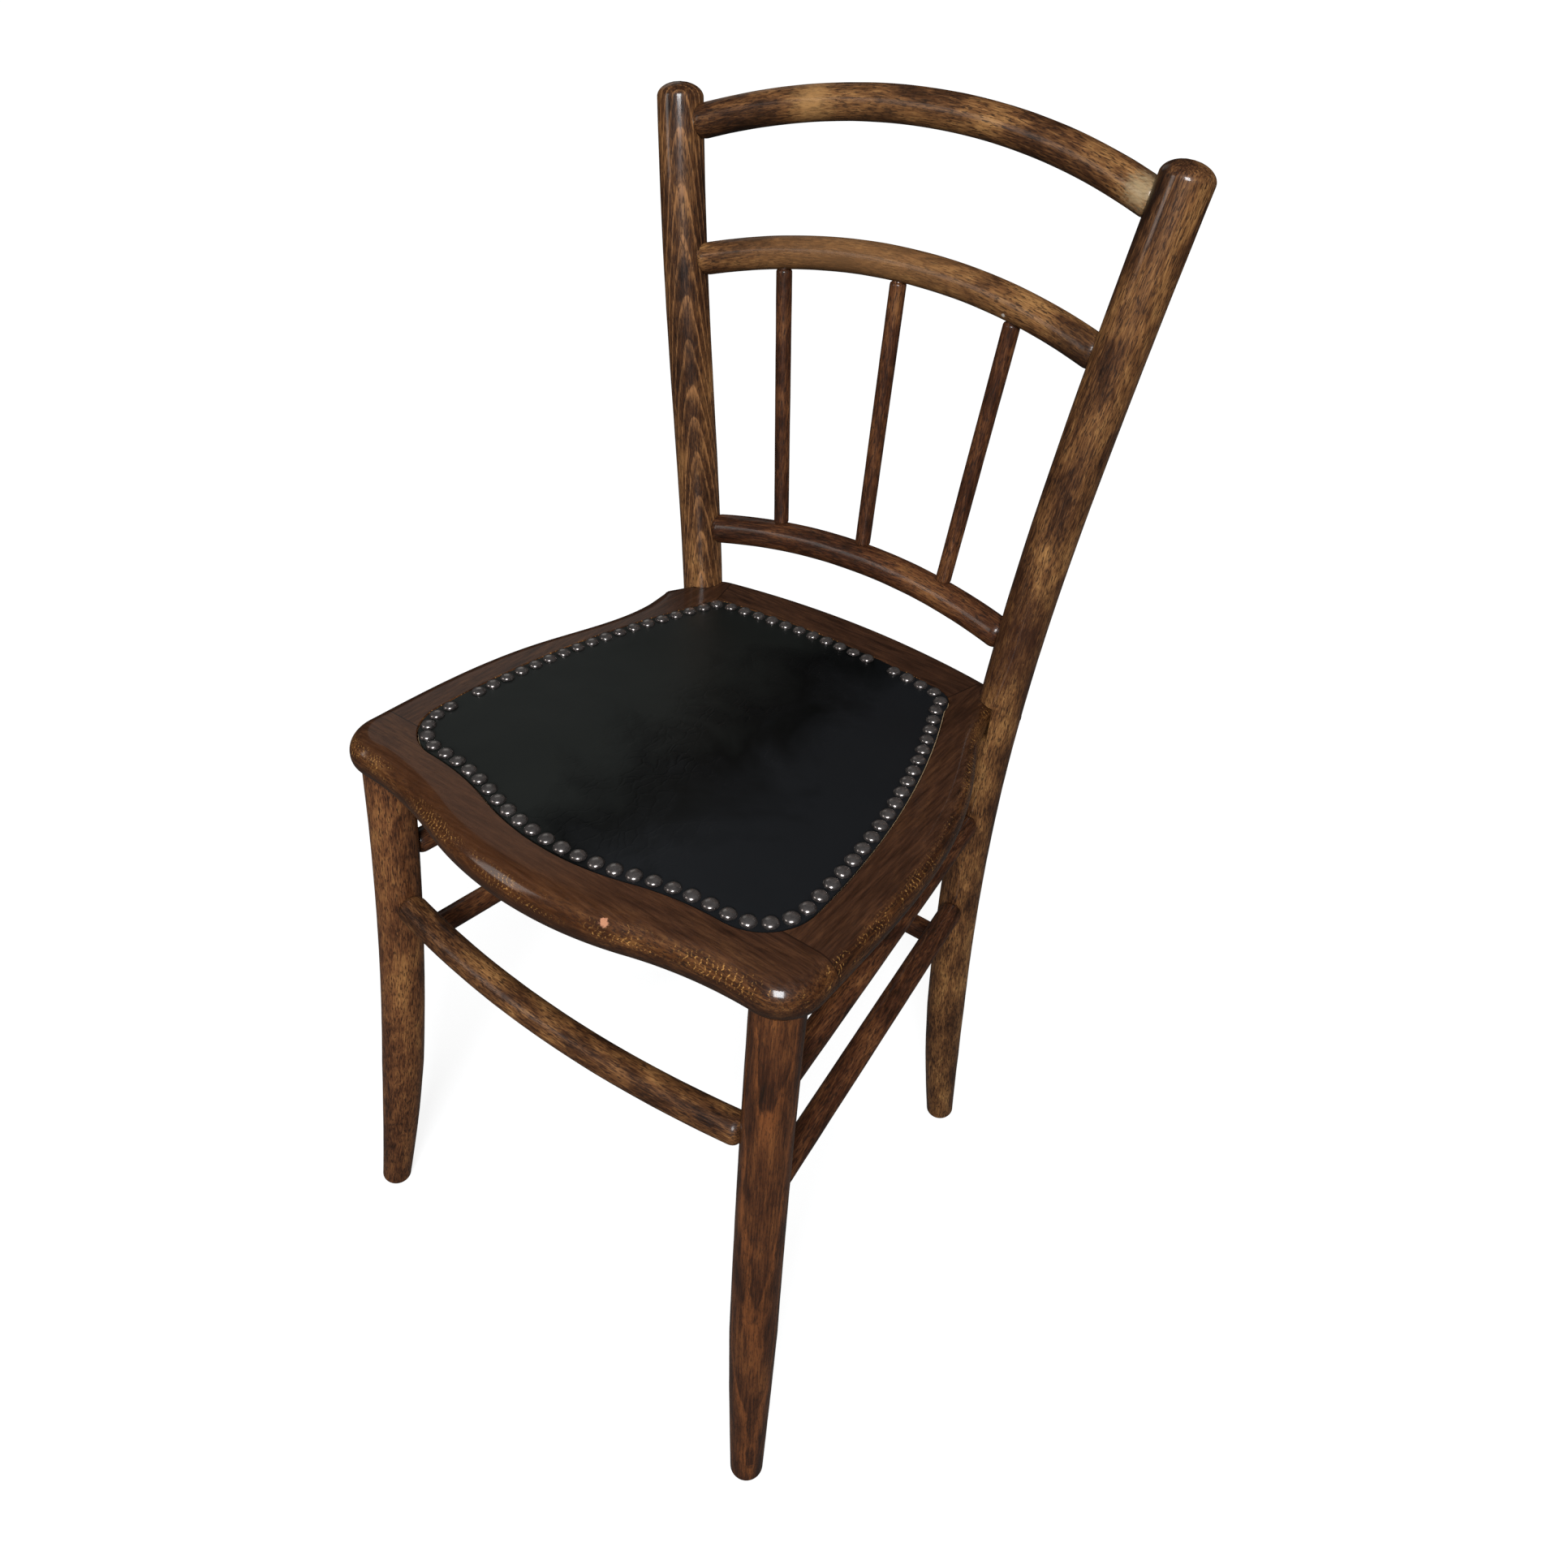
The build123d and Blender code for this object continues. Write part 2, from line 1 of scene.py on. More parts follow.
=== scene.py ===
"""Looks of the bistro chair: turned bars, seat frame, nailed leather panel and a plain studio.

Lengths are in metres in the frame's own axes: +X right as seen from the front, +Y back, +Z up.
"""
import logging
from dataclasses import dataclass
from enum import Enum, IntEnum
from math import cos, pi, radians, sin, tau
from typing import Any, Iterable, Sequence

import bmesh
import bpy
import numpy as np
from mathutils import Matrix, Vector
from numpy.polynomial import Polynomial


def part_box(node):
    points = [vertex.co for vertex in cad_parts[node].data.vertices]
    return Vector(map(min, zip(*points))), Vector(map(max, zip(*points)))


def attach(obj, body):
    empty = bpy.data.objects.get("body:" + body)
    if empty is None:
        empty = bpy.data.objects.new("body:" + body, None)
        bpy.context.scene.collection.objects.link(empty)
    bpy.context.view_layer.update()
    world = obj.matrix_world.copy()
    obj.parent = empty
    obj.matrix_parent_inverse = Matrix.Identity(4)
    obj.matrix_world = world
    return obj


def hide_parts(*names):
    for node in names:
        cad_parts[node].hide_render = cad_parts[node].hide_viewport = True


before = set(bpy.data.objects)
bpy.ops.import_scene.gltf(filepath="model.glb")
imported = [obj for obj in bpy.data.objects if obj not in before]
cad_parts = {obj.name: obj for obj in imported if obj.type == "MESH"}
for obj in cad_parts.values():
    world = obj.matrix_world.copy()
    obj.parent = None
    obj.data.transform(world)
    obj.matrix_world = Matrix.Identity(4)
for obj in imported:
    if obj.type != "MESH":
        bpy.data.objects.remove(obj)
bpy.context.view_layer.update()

Colour = tuple[float, float, float]
Cells = tuple[float, float, float]
Place = tuple[float, float, float]
Point = tuple[float, float]
Span = tuple[float, float]
Socket = bpy.types.NodeSocket
Material = bpy.types.Material
Mesh = bpy.types.Mesh
Object = bpy.types.Object
Node = bpy.types.Node
NodeTree = bpy.types.NodeTree
LOG = logging.getLogger("bistro_chair")
BODY = "root"
GRAIN = "grain"
RADIUS = "bar_radius"
# share of a nail head's height; the nail material darkens the metal towards the rims with it, as dirt and
# painted shade
RIM_DIRT_AND_SHADE = "worn"
SEAM = "seam"
SEAT_NODE = "seat_front_rail"
UP = Vector((0.0, 0.0, 1.0))
WHITE: Colour = (1.0, 1.0, 1.0)
SHARP_ANGLE = radians(38.0)
CUT_SLACK = 1e-7
MERGE_DISTANCE = 1e-6


class Axis(IntEnum):
    """Frame axis that a bar mostly runs along."""

    X = 0
    Y = 1
    Z = 2


class Side(IntEnum):
    """Side of the chair, with the sign of its x."""

    RIGHT = 1
    LEFT = -1

    @property
    def word(self) -> str:
        """Name of the side in the CAD nodes' names."""
        return self.name.lower()


class Slot(Enum):
    """Material slots of the record."""

    POST = "post_wood"
    RAIL = "rail_wood"
    SEAT = "seat_wood"
    PLAIN = "plain_wood"
    FELT = "felt"
    LEATHER = "seat_leather"
    NAIL = "nail_metal"
    SCREW = "screw_metal"


@dataclass(frozen=True)
class Noise:
    """Smooth noise: cells per metre in each direction, octaves, share of each further octave, distortion."""

    cells: Cells
    detail: float = 2.0
    rough: float = 0.5
    twist: float = 0.0


class Tree:
    """Adds nodes to a node tree, fed with plain values or with sockets of other nodes."""

    def __init__(self, tree: NodeTree) -> None:
        """Wraps a tree.

        Args:
            tree: node tree of a material, world or geometry group.
        """
        self.tree = tree

    def add(self, kind: str, inputs: dict[str | int, Any] | None = None, **settings: Any) -> Node:
        """Adds a node.

        Args:
            kind: Blender's name of the node type.
            inputs: values or sockets by input name or place.
            settings: properties of the node.
        Returns:
            The new node.
        """
        node = self.tree.nodes.new(kind)
        for name, value in settings.items():
            setattr(node, name, value)
        self.feed_all(node, inputs or {})
        return node

    def feed_all(self, node: Node, values: dict[str | int, Any]) -> None:
        """Feeds inputs of a node, each found by its name or place."""
        for name, value in values.items():
            self.feed(node.inputs[name], value)

    def feed(self, socket: Socket, value: Any) -> None:
        """Links a socket to another one, or sets its value.

        Args:
            socket: input to feed.
            value: socket, node whose first output is meant, colour or plain value.
        """
        if isinstance(value, Node):
            value = value.outputs[0]
        if isinstance(value, Socket):
            self.tree.links.new(value, socket)
        elif socket.type == "RGBA" and len(value) == 3:
            socket.default_value = (*value, 1.0)
        else:
            socket.default_value = value

    def math(self, operation: str, first: Any, second: Any = 0.0, clamp: bool = False) -> Socket:
        """One step of arithmetic, by Blender's name of the operation."""
        inputs = {0: first, 1: second}
        return self.add("ShaderNodeMath", inputs, operation=operation, use_clamp=clamp).outputs[0]

    def plus(self, first: Any, *others: Any) -> Socket:
        """Sum of values and sockets.

        Args:
            first: first value or socket.
            others: what is added to it.
        Returns:
            The sum.
        """
        for other in others:
            first = self.math("ADD", first, other)
        return first

    def times(self, first: Any, *others: Any) -> Socket:
        """Product of values and sockets.

        Args:
            first: first value or socket.
            others: what it is multiplied by.
        Returns:
            The product.
        """
        for other in others:
            first = self.math("MULTIPLY", first, other)
        return first

    def spread(self, noise: Any, middle: float, width: float) -> Socket:
        """Noise, about 0.5 on average, as values about another middle, with a width of their own."""
        return self.plus(self.times(noise, width), middle - width / 2)

    def vector(self, operation: str, first: Any, second: Any = (0.0, 0.0, 0.0)) -> Node:
        """One step of vector arithmetic, by Blender's name of the operation."""
        return self.add("ShaderNodeVectorMath", {0: first, 1: second}, operation=operation)

    def part(self, vector: Any, axis: Axis) -> Socket:
        """One component of a vector."""
        return self.add("ShaderNodeSeparateXYZ", {0: vector}).outputs[axis]

    def place(self) -> Socket:
        """Object coordinates of the surface."""
        return self.add("ShaderNodeTexCoord").outputs["Object"]

    def attribute(self, name: str, output: str) -> Socket:
        """Value of one of the mesh's attributes."""
        return self.add("ShaderNodeAttribute", attribute_name=name).outputs[output]

    def noise(self, vector: Any, noise: Noise) -> Socket:
        """Smooth noise over stretched coordinates, about 0.5 on average."""
        inputs = {"Vector": self.vector("MULTIPLY", vector, noise.cells), "Scale": 1.0,
                  "Detail": noise.detail, "Roughness": noise.rough, "Distortion": noise.twist}
        return self.add("ShaderNodeTexNoise", inputs).outputs[0]

    def step(self, value: Any, low: float, high: float, start: float = 0.0, end: float = 1.0) -> Socket:
        """Smooth change from start to end while the value goes from low to high."""
        inputs = {"Value": value, "From Min": low, "From Max": high, "To Min": start, "To Max": end}
        return self.add("ShaderNodeMapRange", inputs, interpolation_type="SMOOTHSTEP").outputs[0]

    def ramp(self, value: Any, stops: Sequence[tuple[float, Colour]]) -> Socket:
        """Colour looked up along a ramp.

        Args:
            value: place on the ramp.
            stops: places and colours, in order.
        Returns:
            The colour.
        """
        node = self.add("ShaderNodeValToRGB", {0: value})
        elements = node.color_ramp.elements
        while len(elements) < len(stops):
            elements.new(1.0)
        for element, (place, colour) in zip(elements, stops):
            element.position = place
            element.color = (*colour, 1.0)
        return node.outputs[0]

    def mix(self, factor: Any, first: Any, second: Any, blend: str = "MIX") -> Socket:
        """Mixes two colours.

        Args:
            factor: share of the second colour.
            first: first colour.
            second: second colour.
            blend: Blender's name of the blend.
        Returns:
            The mixed colour.
        """
        node = self.add("ShaderNodeMix", data_type="RGBA", blend_type=blend)
        sockets = {socket.identifier: socket for socket in node.inputs}
        self.feed(sockets["Factor_Float"], factor)
        self.feed(sockets["A_Color"], first)
        self.feed(sockets["B_Color"], second)
        return node.outputs[2]

    def bump(self, height: Any, depth: float, strength: float = 1.0, under: Any = None) -> Socket:
        """Bumps the surface.

        Args:
            height: height socket, from 0 to 1.
            depth: real height in metres.
            strength: share of the effect.
            under: normal of a bump below this one.
        Returns:
            The bumped normal.
        """
        inputs = {"Height": height, "Distance": depth, "Strength": strength}
        if under is not None:
            inputs["Normal"] = under
        return self.add("ShaderNodeBump", inputs).outputs[0]


def new_material(name: str, slot: Slot) -> tuple[Material, Tree, Node]:
    """Makes an empty material.

    Args:
        name: name of the material.
        slot: record slot, kept as the material's note.
    Returns:
        The material, its tree and its surface shader.
    """
    material = bpy.data.materials.new(name)
    material.use_nodes = True
    material["slot"] = slot.value
    tree = Tree(material.node_tree)
    return material, tree, material.node_tree.nodes["Principled BSDF"]


@dataclass(frozen=True)
class Spot:
    """Small mark on the surface, such as a chip, worn patch, trace of glue or patch of painted light."""

    place: Place
    reach: float
    colour: Colour
    strength: float = 1.0
    ragged: float = 0.6
    core: float = 0.7
    edge: Noise = Noise((420.0, 420.0, 420.0), 3.0, 0.6)

    def over(self, tree: Tree, where: Socket, surface: Socket) -> Socket:
        """Lays the mark over a surface colour.

        Args:
            tree: tree to add to.
            where: object coordinates.
            surface: colour below the mark.
        Returns:
            The colour with the mark.
        """
        apart = tree.vector("DISTANCE", where, self.place).outputs["Value"]
        ragged = tree.spread(tree.noise(where, self.edge), 0.0, 2 * self.ragged * self.reach)
        apart = tree.plus(apart, ragged)
        share = tree.step(apart, self.reach, self.reach * self.core, 0.0, self.strength)
        return tree.mix(share, surface, self.colour)


@dataclass(frozen=True)
class StainedBeech:
    """Dark walnut stain over beech, worn to gold in places; reads the grain attribute."""

    name: str
    slot: Slot
    dark: Colour = (0.0110, 0.0048, 0.0026)
    brown: Colour = (0.0480, 0.0190, 0.0080)
    amber: Colour = (0.1250, 0.0540, 0.0190)
    gold: Colour = (0.2900, 0.1450, 0.0500)
    tone_stops: tuple[float, ...] = (0.30, 0.46, 0.60, 0.80)
    warmth: float = 0.0
    line: Colour = (0.3000, 0.1250, 0.0450)
    line_strength: float = 0.12
    line_rise: Span = (0.62, 0.94)
    line_fall: Span = (0.94, 1.0)
    line_tones: Span = (0.30, 0.62)
    line_least: float = 0.35
    ring_width: float = 0.0046
    pith: Place = (0.030, 0.0, 0.0)
    lean: float = 0.13
    warp_depth: float = 0.0088
    warp: Noise = Noise((30.0, 30.0, 9.0), 3.0)
    cloud: Noise = Noise((44.0, 44.0, 17.0), 3.0, 0.55, 0.3)
    cloud_share: float = 0.90
    mottle: Noise = Noise((210.0, 210.0, 70.0), 4.0, 0.65, 0.5)
    mottle_share: float = 0.40
    fibre: Noise = Noise((1100.0, 1100.0, 100.0), 4.0, 0.62)
    fibre_share: float = 0.62
    fibre_relief: float = 0.4
    pore: Noise = Noise((1300.0, 1300.0, 210.0))
    pore_rise: Span = (0.52, 0.63)
    pore_share: float = 0.78
    pore_depth: float = 0.00010
    pore_relief: float = 0.5
    pore_roughness: float = 0.2
    roughness: float = 0.40
    roughness_spread: float = 0.22
    gloss: float = 0.15
    coat: float = 0.45
    coat_roughness: float = 0.13
    spots: tuple[Spot, ...] = ()

    def lines(self, tree: Tree, grain: Socket) -> Socket:
        """Mask of the thin pale year rings, which make arches where the bar runs across them.

        Args:
            tree: tree to add to.
            grain: coordinates across and along the grain.
        Returns:
            The mask.
        """
        warp = tree.times(tree.noise(grain, self.warp), self.warp_depth)
        flat = tree.vector("MULTIPLY", grain, (1.0, 1.0, 0.0))
        offset = tree.vector("SUBTRACT", flat, self.pith)
        distance = tree.vector("LENGTH", offset).outputs["Value"]
        slope = tree.times(tree.part(grain, Axis.Z), self.lean)
        phase = tree.math("FRACT", tree.math("DIVIDE", tree.plus(distance, slope, warp), self.ring_width))
        return tree.times(tree.step(phase, *self.line_rise), tree.step(phase, *self.line_fall, 1.0, 0.0))

    def tone(self, tree: Tree, grain: Socket) -> tuple[Socket, Socket, Socket]:
        """Works out where the wood is dark or light.

        Args:
            tree: tree to add to.
            grain: coordinates across and along the grain.
        Returns:
            Tone from 0 dark to 1 gold, fibre noise and pore mask.
        """
        fibre = tree.noise(grain, self.fibre)
        clouds = tree.times(tree.noise(grain, self.cloud), self.cloud_share)
        mottles = tree.times(tree.noise(grain, self.mottle), self.mottle_share)
        surplus = (self.cloud_share + self.mottle_share + self.fibre_share - 1.0) / 2
        tone = tree.plus(clouds, mottles, tree.times(fibre, self.fibre_share), self.warmth - surplus)
        pores = tree.step(tree.noise(grain, self.pore), *self.pore_rise)
        return tone, fibre, pores

    def colour(self, tree: Tree, grain: Socket, tone: Socket, pores: Socket) -> Socket:
        """Colours the tone, draws the rings and darkens the pores.

        Args:
            tree: tree to add to.
            grain: coordinates across and along the grain.
            tone: tone from 0 dark to 1 gold.
            pores: pore mask.
        Returns:
            The surface colour.
        """
        stops = zip(self.tone_stops, (self.dark, self.brown, self.amber, self.gold))
        surface = tree.ramp(tone, list(stops))
        clear = tree.step(tone, *self.line_tones, self.line_least, 1.0)
        lines = tree.times(self.lines(tree, grain), clear, self.line_strength)
        surface = tree.mix(lines, surface, self.line)
        return tree.mix(tree.times(pores, self.pore_share), surface, self.dark)

    def marked(self, tree: Tree, grain: Socket, fibre: Socket, surface: Socket) -> Socket:
        """Lays this wood's own marks over its stain.

        Args:
            tree: tree to add to.
            grain: coordinates across and along the grain; not used here.
            fibre: fibre noise; not used here.
            surface: colour of the stain.
        Returns:
            The colour with the marks.
        """
        place = tree.place()
        for spot in self.spots:
            surface = spot.over(tree, place, surface)
        return surface

    def material(self) -> Material:
        """Builds the material.

        Returns:
            The finished material.
        """
        material, tree, shader = new_material(self.name, self.slot)
        grain = tree.attribute(GRAIN, "Vector")
        tone, fibre, pores = self.tone(tree, grain)
        surface = self.colour(tree, grain, tone, pores)
        tree.feed(shader.inputs["Base Color"], self.marked(tree, grain, fibre, surface))
        self.finish(tree, shader, fibre, pores)
        return material

    def finish(self, tree: Tree, shader: Node, fibre: Socket, pores: Socket) -> None:
        """Sets gloss and surface relief.

        Args:
            tree: tree to add to.
            shader: surface shader.
            fibre: fibre noise.
            pores: pore mask.
        """
        rough = tree.spread(fibre, self.roughness, self.roughness_spread)
        relief = tree.bump(tree.math("SUBTRACT", 1.0, pores), self.pore_depth, self.pore_relief)
        tree.feed_all(shader, {
            "Roughness": tree.plus(rough, tree.times(pores, self.pore_roughness)),
            "Normal": tree.bump(fibre, self.pore_depth, self.fibre_relief, relief),
            "Specular IOR Level": self.gloss,
            "Coat Weight": self.coat,
            "Coat Roughness": self.coat_roughness,
        })


@dataclass(frozen=True)
class FleckedBeech(StainedBeech):
    """Stain of the seat frame: plain on top, with rows of small golden arcs on the rounded edge, and painted
    shade below.

    Each pair of facing values is a stretch of the upward part of the surface's direction.
    """

    top: Colour = (0.0368, 0.0157, 0.0084)
    top_facing: Span = (0.60, 0.99)
    top_share: float = 0.76
    streak_contrast: float = 2.6
    # painted light: the front rail is laid warmer and lighter than the sides, as where the light falls on it
    front_tint: Spot = Spot((-0.050, -0.182, 0.464), 0.190, (0.066, 0.0215, 0.0052), 0.36, 0.2, 0.1)
    # painted shade: darker colour laid on the downward-facing underside of the frame
    under: Colour = (0.0150, 0.0075, 0.0050)
    under_facing: Span = (0.42, -0.40)
    under_share: float = 0.80
    fleck: Colour = (0.48, 0.24, 0.066)
    fleck_share: float = 0.66
    arc_spacing: float = 0.0034
    arc_bend: float = 0.020
    arc_middle: float = 0.50
    arc_drift: float = 0.0100
    arc_wander: Noise = Noise((160.0, 160.0, 90.0), 2.0, 0.6)
    arc_rise: Span = (0.33, 0.47)
    arc_lower_facing: Span = (0.05, 0.35)
    arc_upper_facing: Span = (0.90, 0.70)
    patch: Noise = Noise((70.0, 70.0, 30.0), 2.0, 0.6)
    patch_rise: Span = (0.42, 0.60)
    speck: Noise = Noise((900.0, 900.0, 500.0), 2.0, 0.6)
    speck_rise: Span = (0.43, 0.61)
    seam_width: float = 0.00065
    seam_core: float = 1 / 3
    seam_share: float = 0.85

    def flecks(self, tree: Tree, grain: Socket, facing: Socket) -> Socket:
        """Mask of short arcs in a row along the rounded edge.

        Args:
            tree: tree to add to.
            grain: coordinates across and along the grain.
            facing: upward part of the surface's direction.
        Returns:
            The mask.
        """
        from_middle = tree.math("SUBTRACT", facing, self.arc_middle)
        bend = tree.times(from_middle, from_middle, self.arc_bend)
        drift = tree.times(tree.noise(grain, self.arc_wander), self.arc_drift)
        along = tree.plus(tree.part(grain, Axis.Z), bend, drift)
        from_arc = tree.math("PINGPONG", tree.math("DIVIDE", along, self.arc_spacing), 0.5)
        line = tree.step(from_arc, *self.arc_rise)
        patch = tree.step(tree.noise(grain, self.patch), *self.patch_rise)
        speck = tree.step(tree.noise(grain, self.speck), *self.speck_rise)
        lower = tree.step(facing, *self.arc_lower_facing)
        upper = tree.step(facing, *self.arc_upper_facing)
        return tree.times(line, patch, lower, upper, speck)

    def marked(self, tree: Tree, grain: Socket, fibre: Socket, surface: Socket) -> Socket:
        """Lays the plain top, the painted light on the front, the painted shade on the underside, the flecks,
        the marks and the seams.

        Args:
            tree: tree to add to.
            grain: coordinates across and along the grain.
            fibre: fibre noise.
            surface: colour of the stain.
        Returns:
            The colour with all of them.
        """
        facing = tree.part(tree.add("ShaderNodeNewGeometry").outputs["True Normal"], Axis.Z)
        streaks = tree.spread(fibre, 1.0, self.streak_contrast)
        streaks = tree.add("ShaderNodeCombineXYZ", {axis: streaks for axis in Axis})
        top = tree.mix(1.0, self.top, streaks, "MULTIPLY")
        upward = tree.times(tree.step(facing, *self.top_facing), self.top_share)
        # painted light: warmer, lighter front rail
        surface = self.front_tint.over(tree, tree.place(), tree.mix(upward, surface, top))
        # painted shade: the downward-facing underside is darkened
        underside_shade = tree.times(tree.step(facing, *self.under_facing), self.under_share)
        surface = tree.mix(underside_shade, surface, self.under)
        flecks = tree.times(self.flecks(tree, grain, facing), self.fleck_share)
        surface = super().marked(tree, grain, fibre, tree.mix(flecks, surface, self.fleck))
        core = self.seam_width * self.seam_core
        seam = tree.step(tree.attribute(SEAM, "Fac"), self.seam_width, core, 0.0, self.seam_share)
        return tree.mix(seam, surface, self.dark)


@dataclass(frozen=True)
class BareWood:
    """Unstained wood of the seat board and the dowels."""

    name: str = "bare_wood"
    slot: Slot = Slot.PLAIN
    light: Colour = (0.52, 0.36, 0.21)
    shade: Colour = (0.36, 0.23, 0.12)
    streak: Noise = Noise((9.0, 320.0, 320.0), 4.0, 0.6)
    streak_stops: Span = (0.35, 0.65)
    roughness: float = 0.7

    def material(self) -> Material:
        """Builds the material.

        Returns:
            The finished material.
        """
        material, tree, shader = new_material(self.name, self.slot)
        stops = list(zip(self.streak_stops, (self.shade, self.light)))
        surface = tree.ramp(tree.noise(tree.place(), self.streak), stops)
        tree.feed_all(shader, {"Base Color": surface, "Roughness": self.roughness})
        return material


@dataclass(frozen=True)
class BlackLeather:
    """Old black leather: satin, almost smooth, with faint creases in the middle, and painted sheen that
    lightens its colour towards both sides.
    """

    name: str = "black_leather"
    slot: Slot = Slot.LEATHER
    # painted sheen: green-grey towards the left and blue-grey towards the right are lighter than the dark
    # middle
    green: Colour = (0.0070, 0.0081, 0.0072)
    black: Colour = (0.0012, 0.0015, 0.0015)
    blue: Colour = (0.0066, 0.0073, 0.0084)
    tint_stops: tuple[float, ...] = (0.15, 0.50, 0.90)
    tint_across: Span = (-0.10, 0.13)
    cloud: Noise = Noise((14.0, 14.0, 14.0), 4.0, 0.6, 0.5)
    pebble: Noise = Noise((1100.0, 1100.0, 1100.0), 2.0, 0.6)
    pebble_depth: float = 0.00006
    pebble_relief: float = 0.4
    swirl: Place = (0.016, 0.016, 0.0)
    swirl_cells: float = 55.0
    swirl_detail: float = 3.0
    crease_cells: Cells = (120.0, 70.0, 70.0)
    crease_width: float = 0.12
    crease_clouds: Span = (0.4, 0.6)
    crease_place: float = 0.012
    crease_reach: float = 0.085
    crease_depth: float = 0.00022
    crease_relief: float = 0.7
    gloss: float = 0.28
    roughness: float = 0.43
    roughness_spread: float = 0.20

    def creases(self, tree: Tree, place: Socket, across: Socket, cloud: Socket) -> Socket:
        """Mask of the creases near the middle of the seat.

        Args:
            tree: tree to add to.
            place: object coordinates.
            across: their part to the right.
            cloud: noise that leaves some places smooth.
        Returns:
            The mask.
        """
        inputs = {"Vector": place, "Scale": self.swirl_cells, "Detail": self.swirl_detail}
        swirls = tree.add("ShaderNodeTexNoise", inputs).outputs["Color"]
        bent = tree.vector("ADD", place, tree.vector("MULTIPLY", swirls, self.swirl))
        inputs = {"Vector": tree.vector("MULTIPLY", bent, self.crease_cells), "Scale": 1.0}
        crack = tree.add("ShaderNodeTexVoronoi", inputs, feature="DISTANCE_TO_EDGE").outputs["Distance"]
        apart = tree.math("ABSOLUTE", tree.math("SUBTRACT", across, self.crease_place))
        middle = tree.step(apart, self.crease_reach, 0.0)
        worn = tree.step(cloud, *self.crease_clouds)
        return tree.times(tree.step(crack, self.crease_width, 0.0), middle, worn)

    def material(self) -> Material:
        """Builds the material.

        Returns:
            The finished material.
        """
        material, tree, shader = new_material(self.name, self.slot)
        place = tree.place()
        across = tree.part(place, Axis.X)
        cloud = tree.noise(place, self.cloud)
        shift = tree.spread(cloud, 0.0, 1.0)
        # painted sheen: the base colour lightens towards the left and right sides
        side = tree.math("ADD", tree.step(across, *self.tint_across), shift, clamp=True)
        sheen_tints = list(zip(self.tint_stops, (self.green, self.black, self.blue)))
        smooth = tree.math("SUBTRACT", 1.0, self.creases(tree, place, across, cloud))
        folds = tree.bump(smooth, self.crease_depth, self.crease_relief)
        pebbles = tree.bump(tree.noise(place, self.pebble), self.pebble_depth, self.pebble_relief, folds)
        tree.feed_all(shader, {
            "Base Color": tree.ramp(side, sheen_tints),
            "Normal": pebbles,
            "Roughness": tree.spread(cloud, self.roughness, self.roughness_spread),
            "Specular IOR Level": self.gloss,
        })
        return material


@dataclass(frozen=True)
class DullMetal:
    """Tarnished metal of the nails and the screws, darkest at the rims of the heads, with dirt and painted
    shade there.
    """

    name: str
    slot: Slot
    clean: Colour
    tarnish: Colour
    stops: Span = (0.42, 0.95)
    spot: Noise = Noise((420.0, 420.0, 420.0), 3.0, 0.6)
    spot_share: float = 0.9
    worn_share: float = 0.45
    metal: float = 0.88
    roughness: float = 0.24
    roughness_spread: float = -0.2
    dent_depth: float = 0.0002
    dent_relief: float = 0.3

    def material(self) -> Material:
        """Builds the material.

        Returns:
            The finished material.
        """
        material, tree, shader = new_material(self.name, self.slot)
        spots = tree.noise(tree.place(), self.spot)
        # darker towards the rims of the heads: dirt and painted shade
        worn = tree.times(tree.attribute(RIM_DIRT_AND_SHADE, "Fac"), self.worn_share)
        shine = tree.plus(tree.times(spots, self.spot_share), worn)
        tree.feed_all(shader, {
            "Base Color": tree.ramp(shine, list(zip(self.stops, (self.tarnish, self.clean)))),
            "Metallic": self.metal,
            "Roughness": tree.spread(spots, self.roughness, self.roughness_spread),
            "Normal": tree.bump(spots, self.dent_depth, self.dent_relief),
        })
        return material


@dataclass(frozen=True)
class Felt:
    """Grey felt under the leather."""

    name: str = "grey_felt"
    slot: Slot = Slot.FELT
    tint: Colour = (0.05, 0.048, 0.044)
    roughness: float = 0.95

    def material(self) -> Material:
        """Builds the material.

        Returns:
            The finished material.
        """
        material, tree, shader = new_material(self.name, self.slot)
        tree.feed_all(shader, {"Base Color": self.tint, "Roughness": self.roughness})
        return material


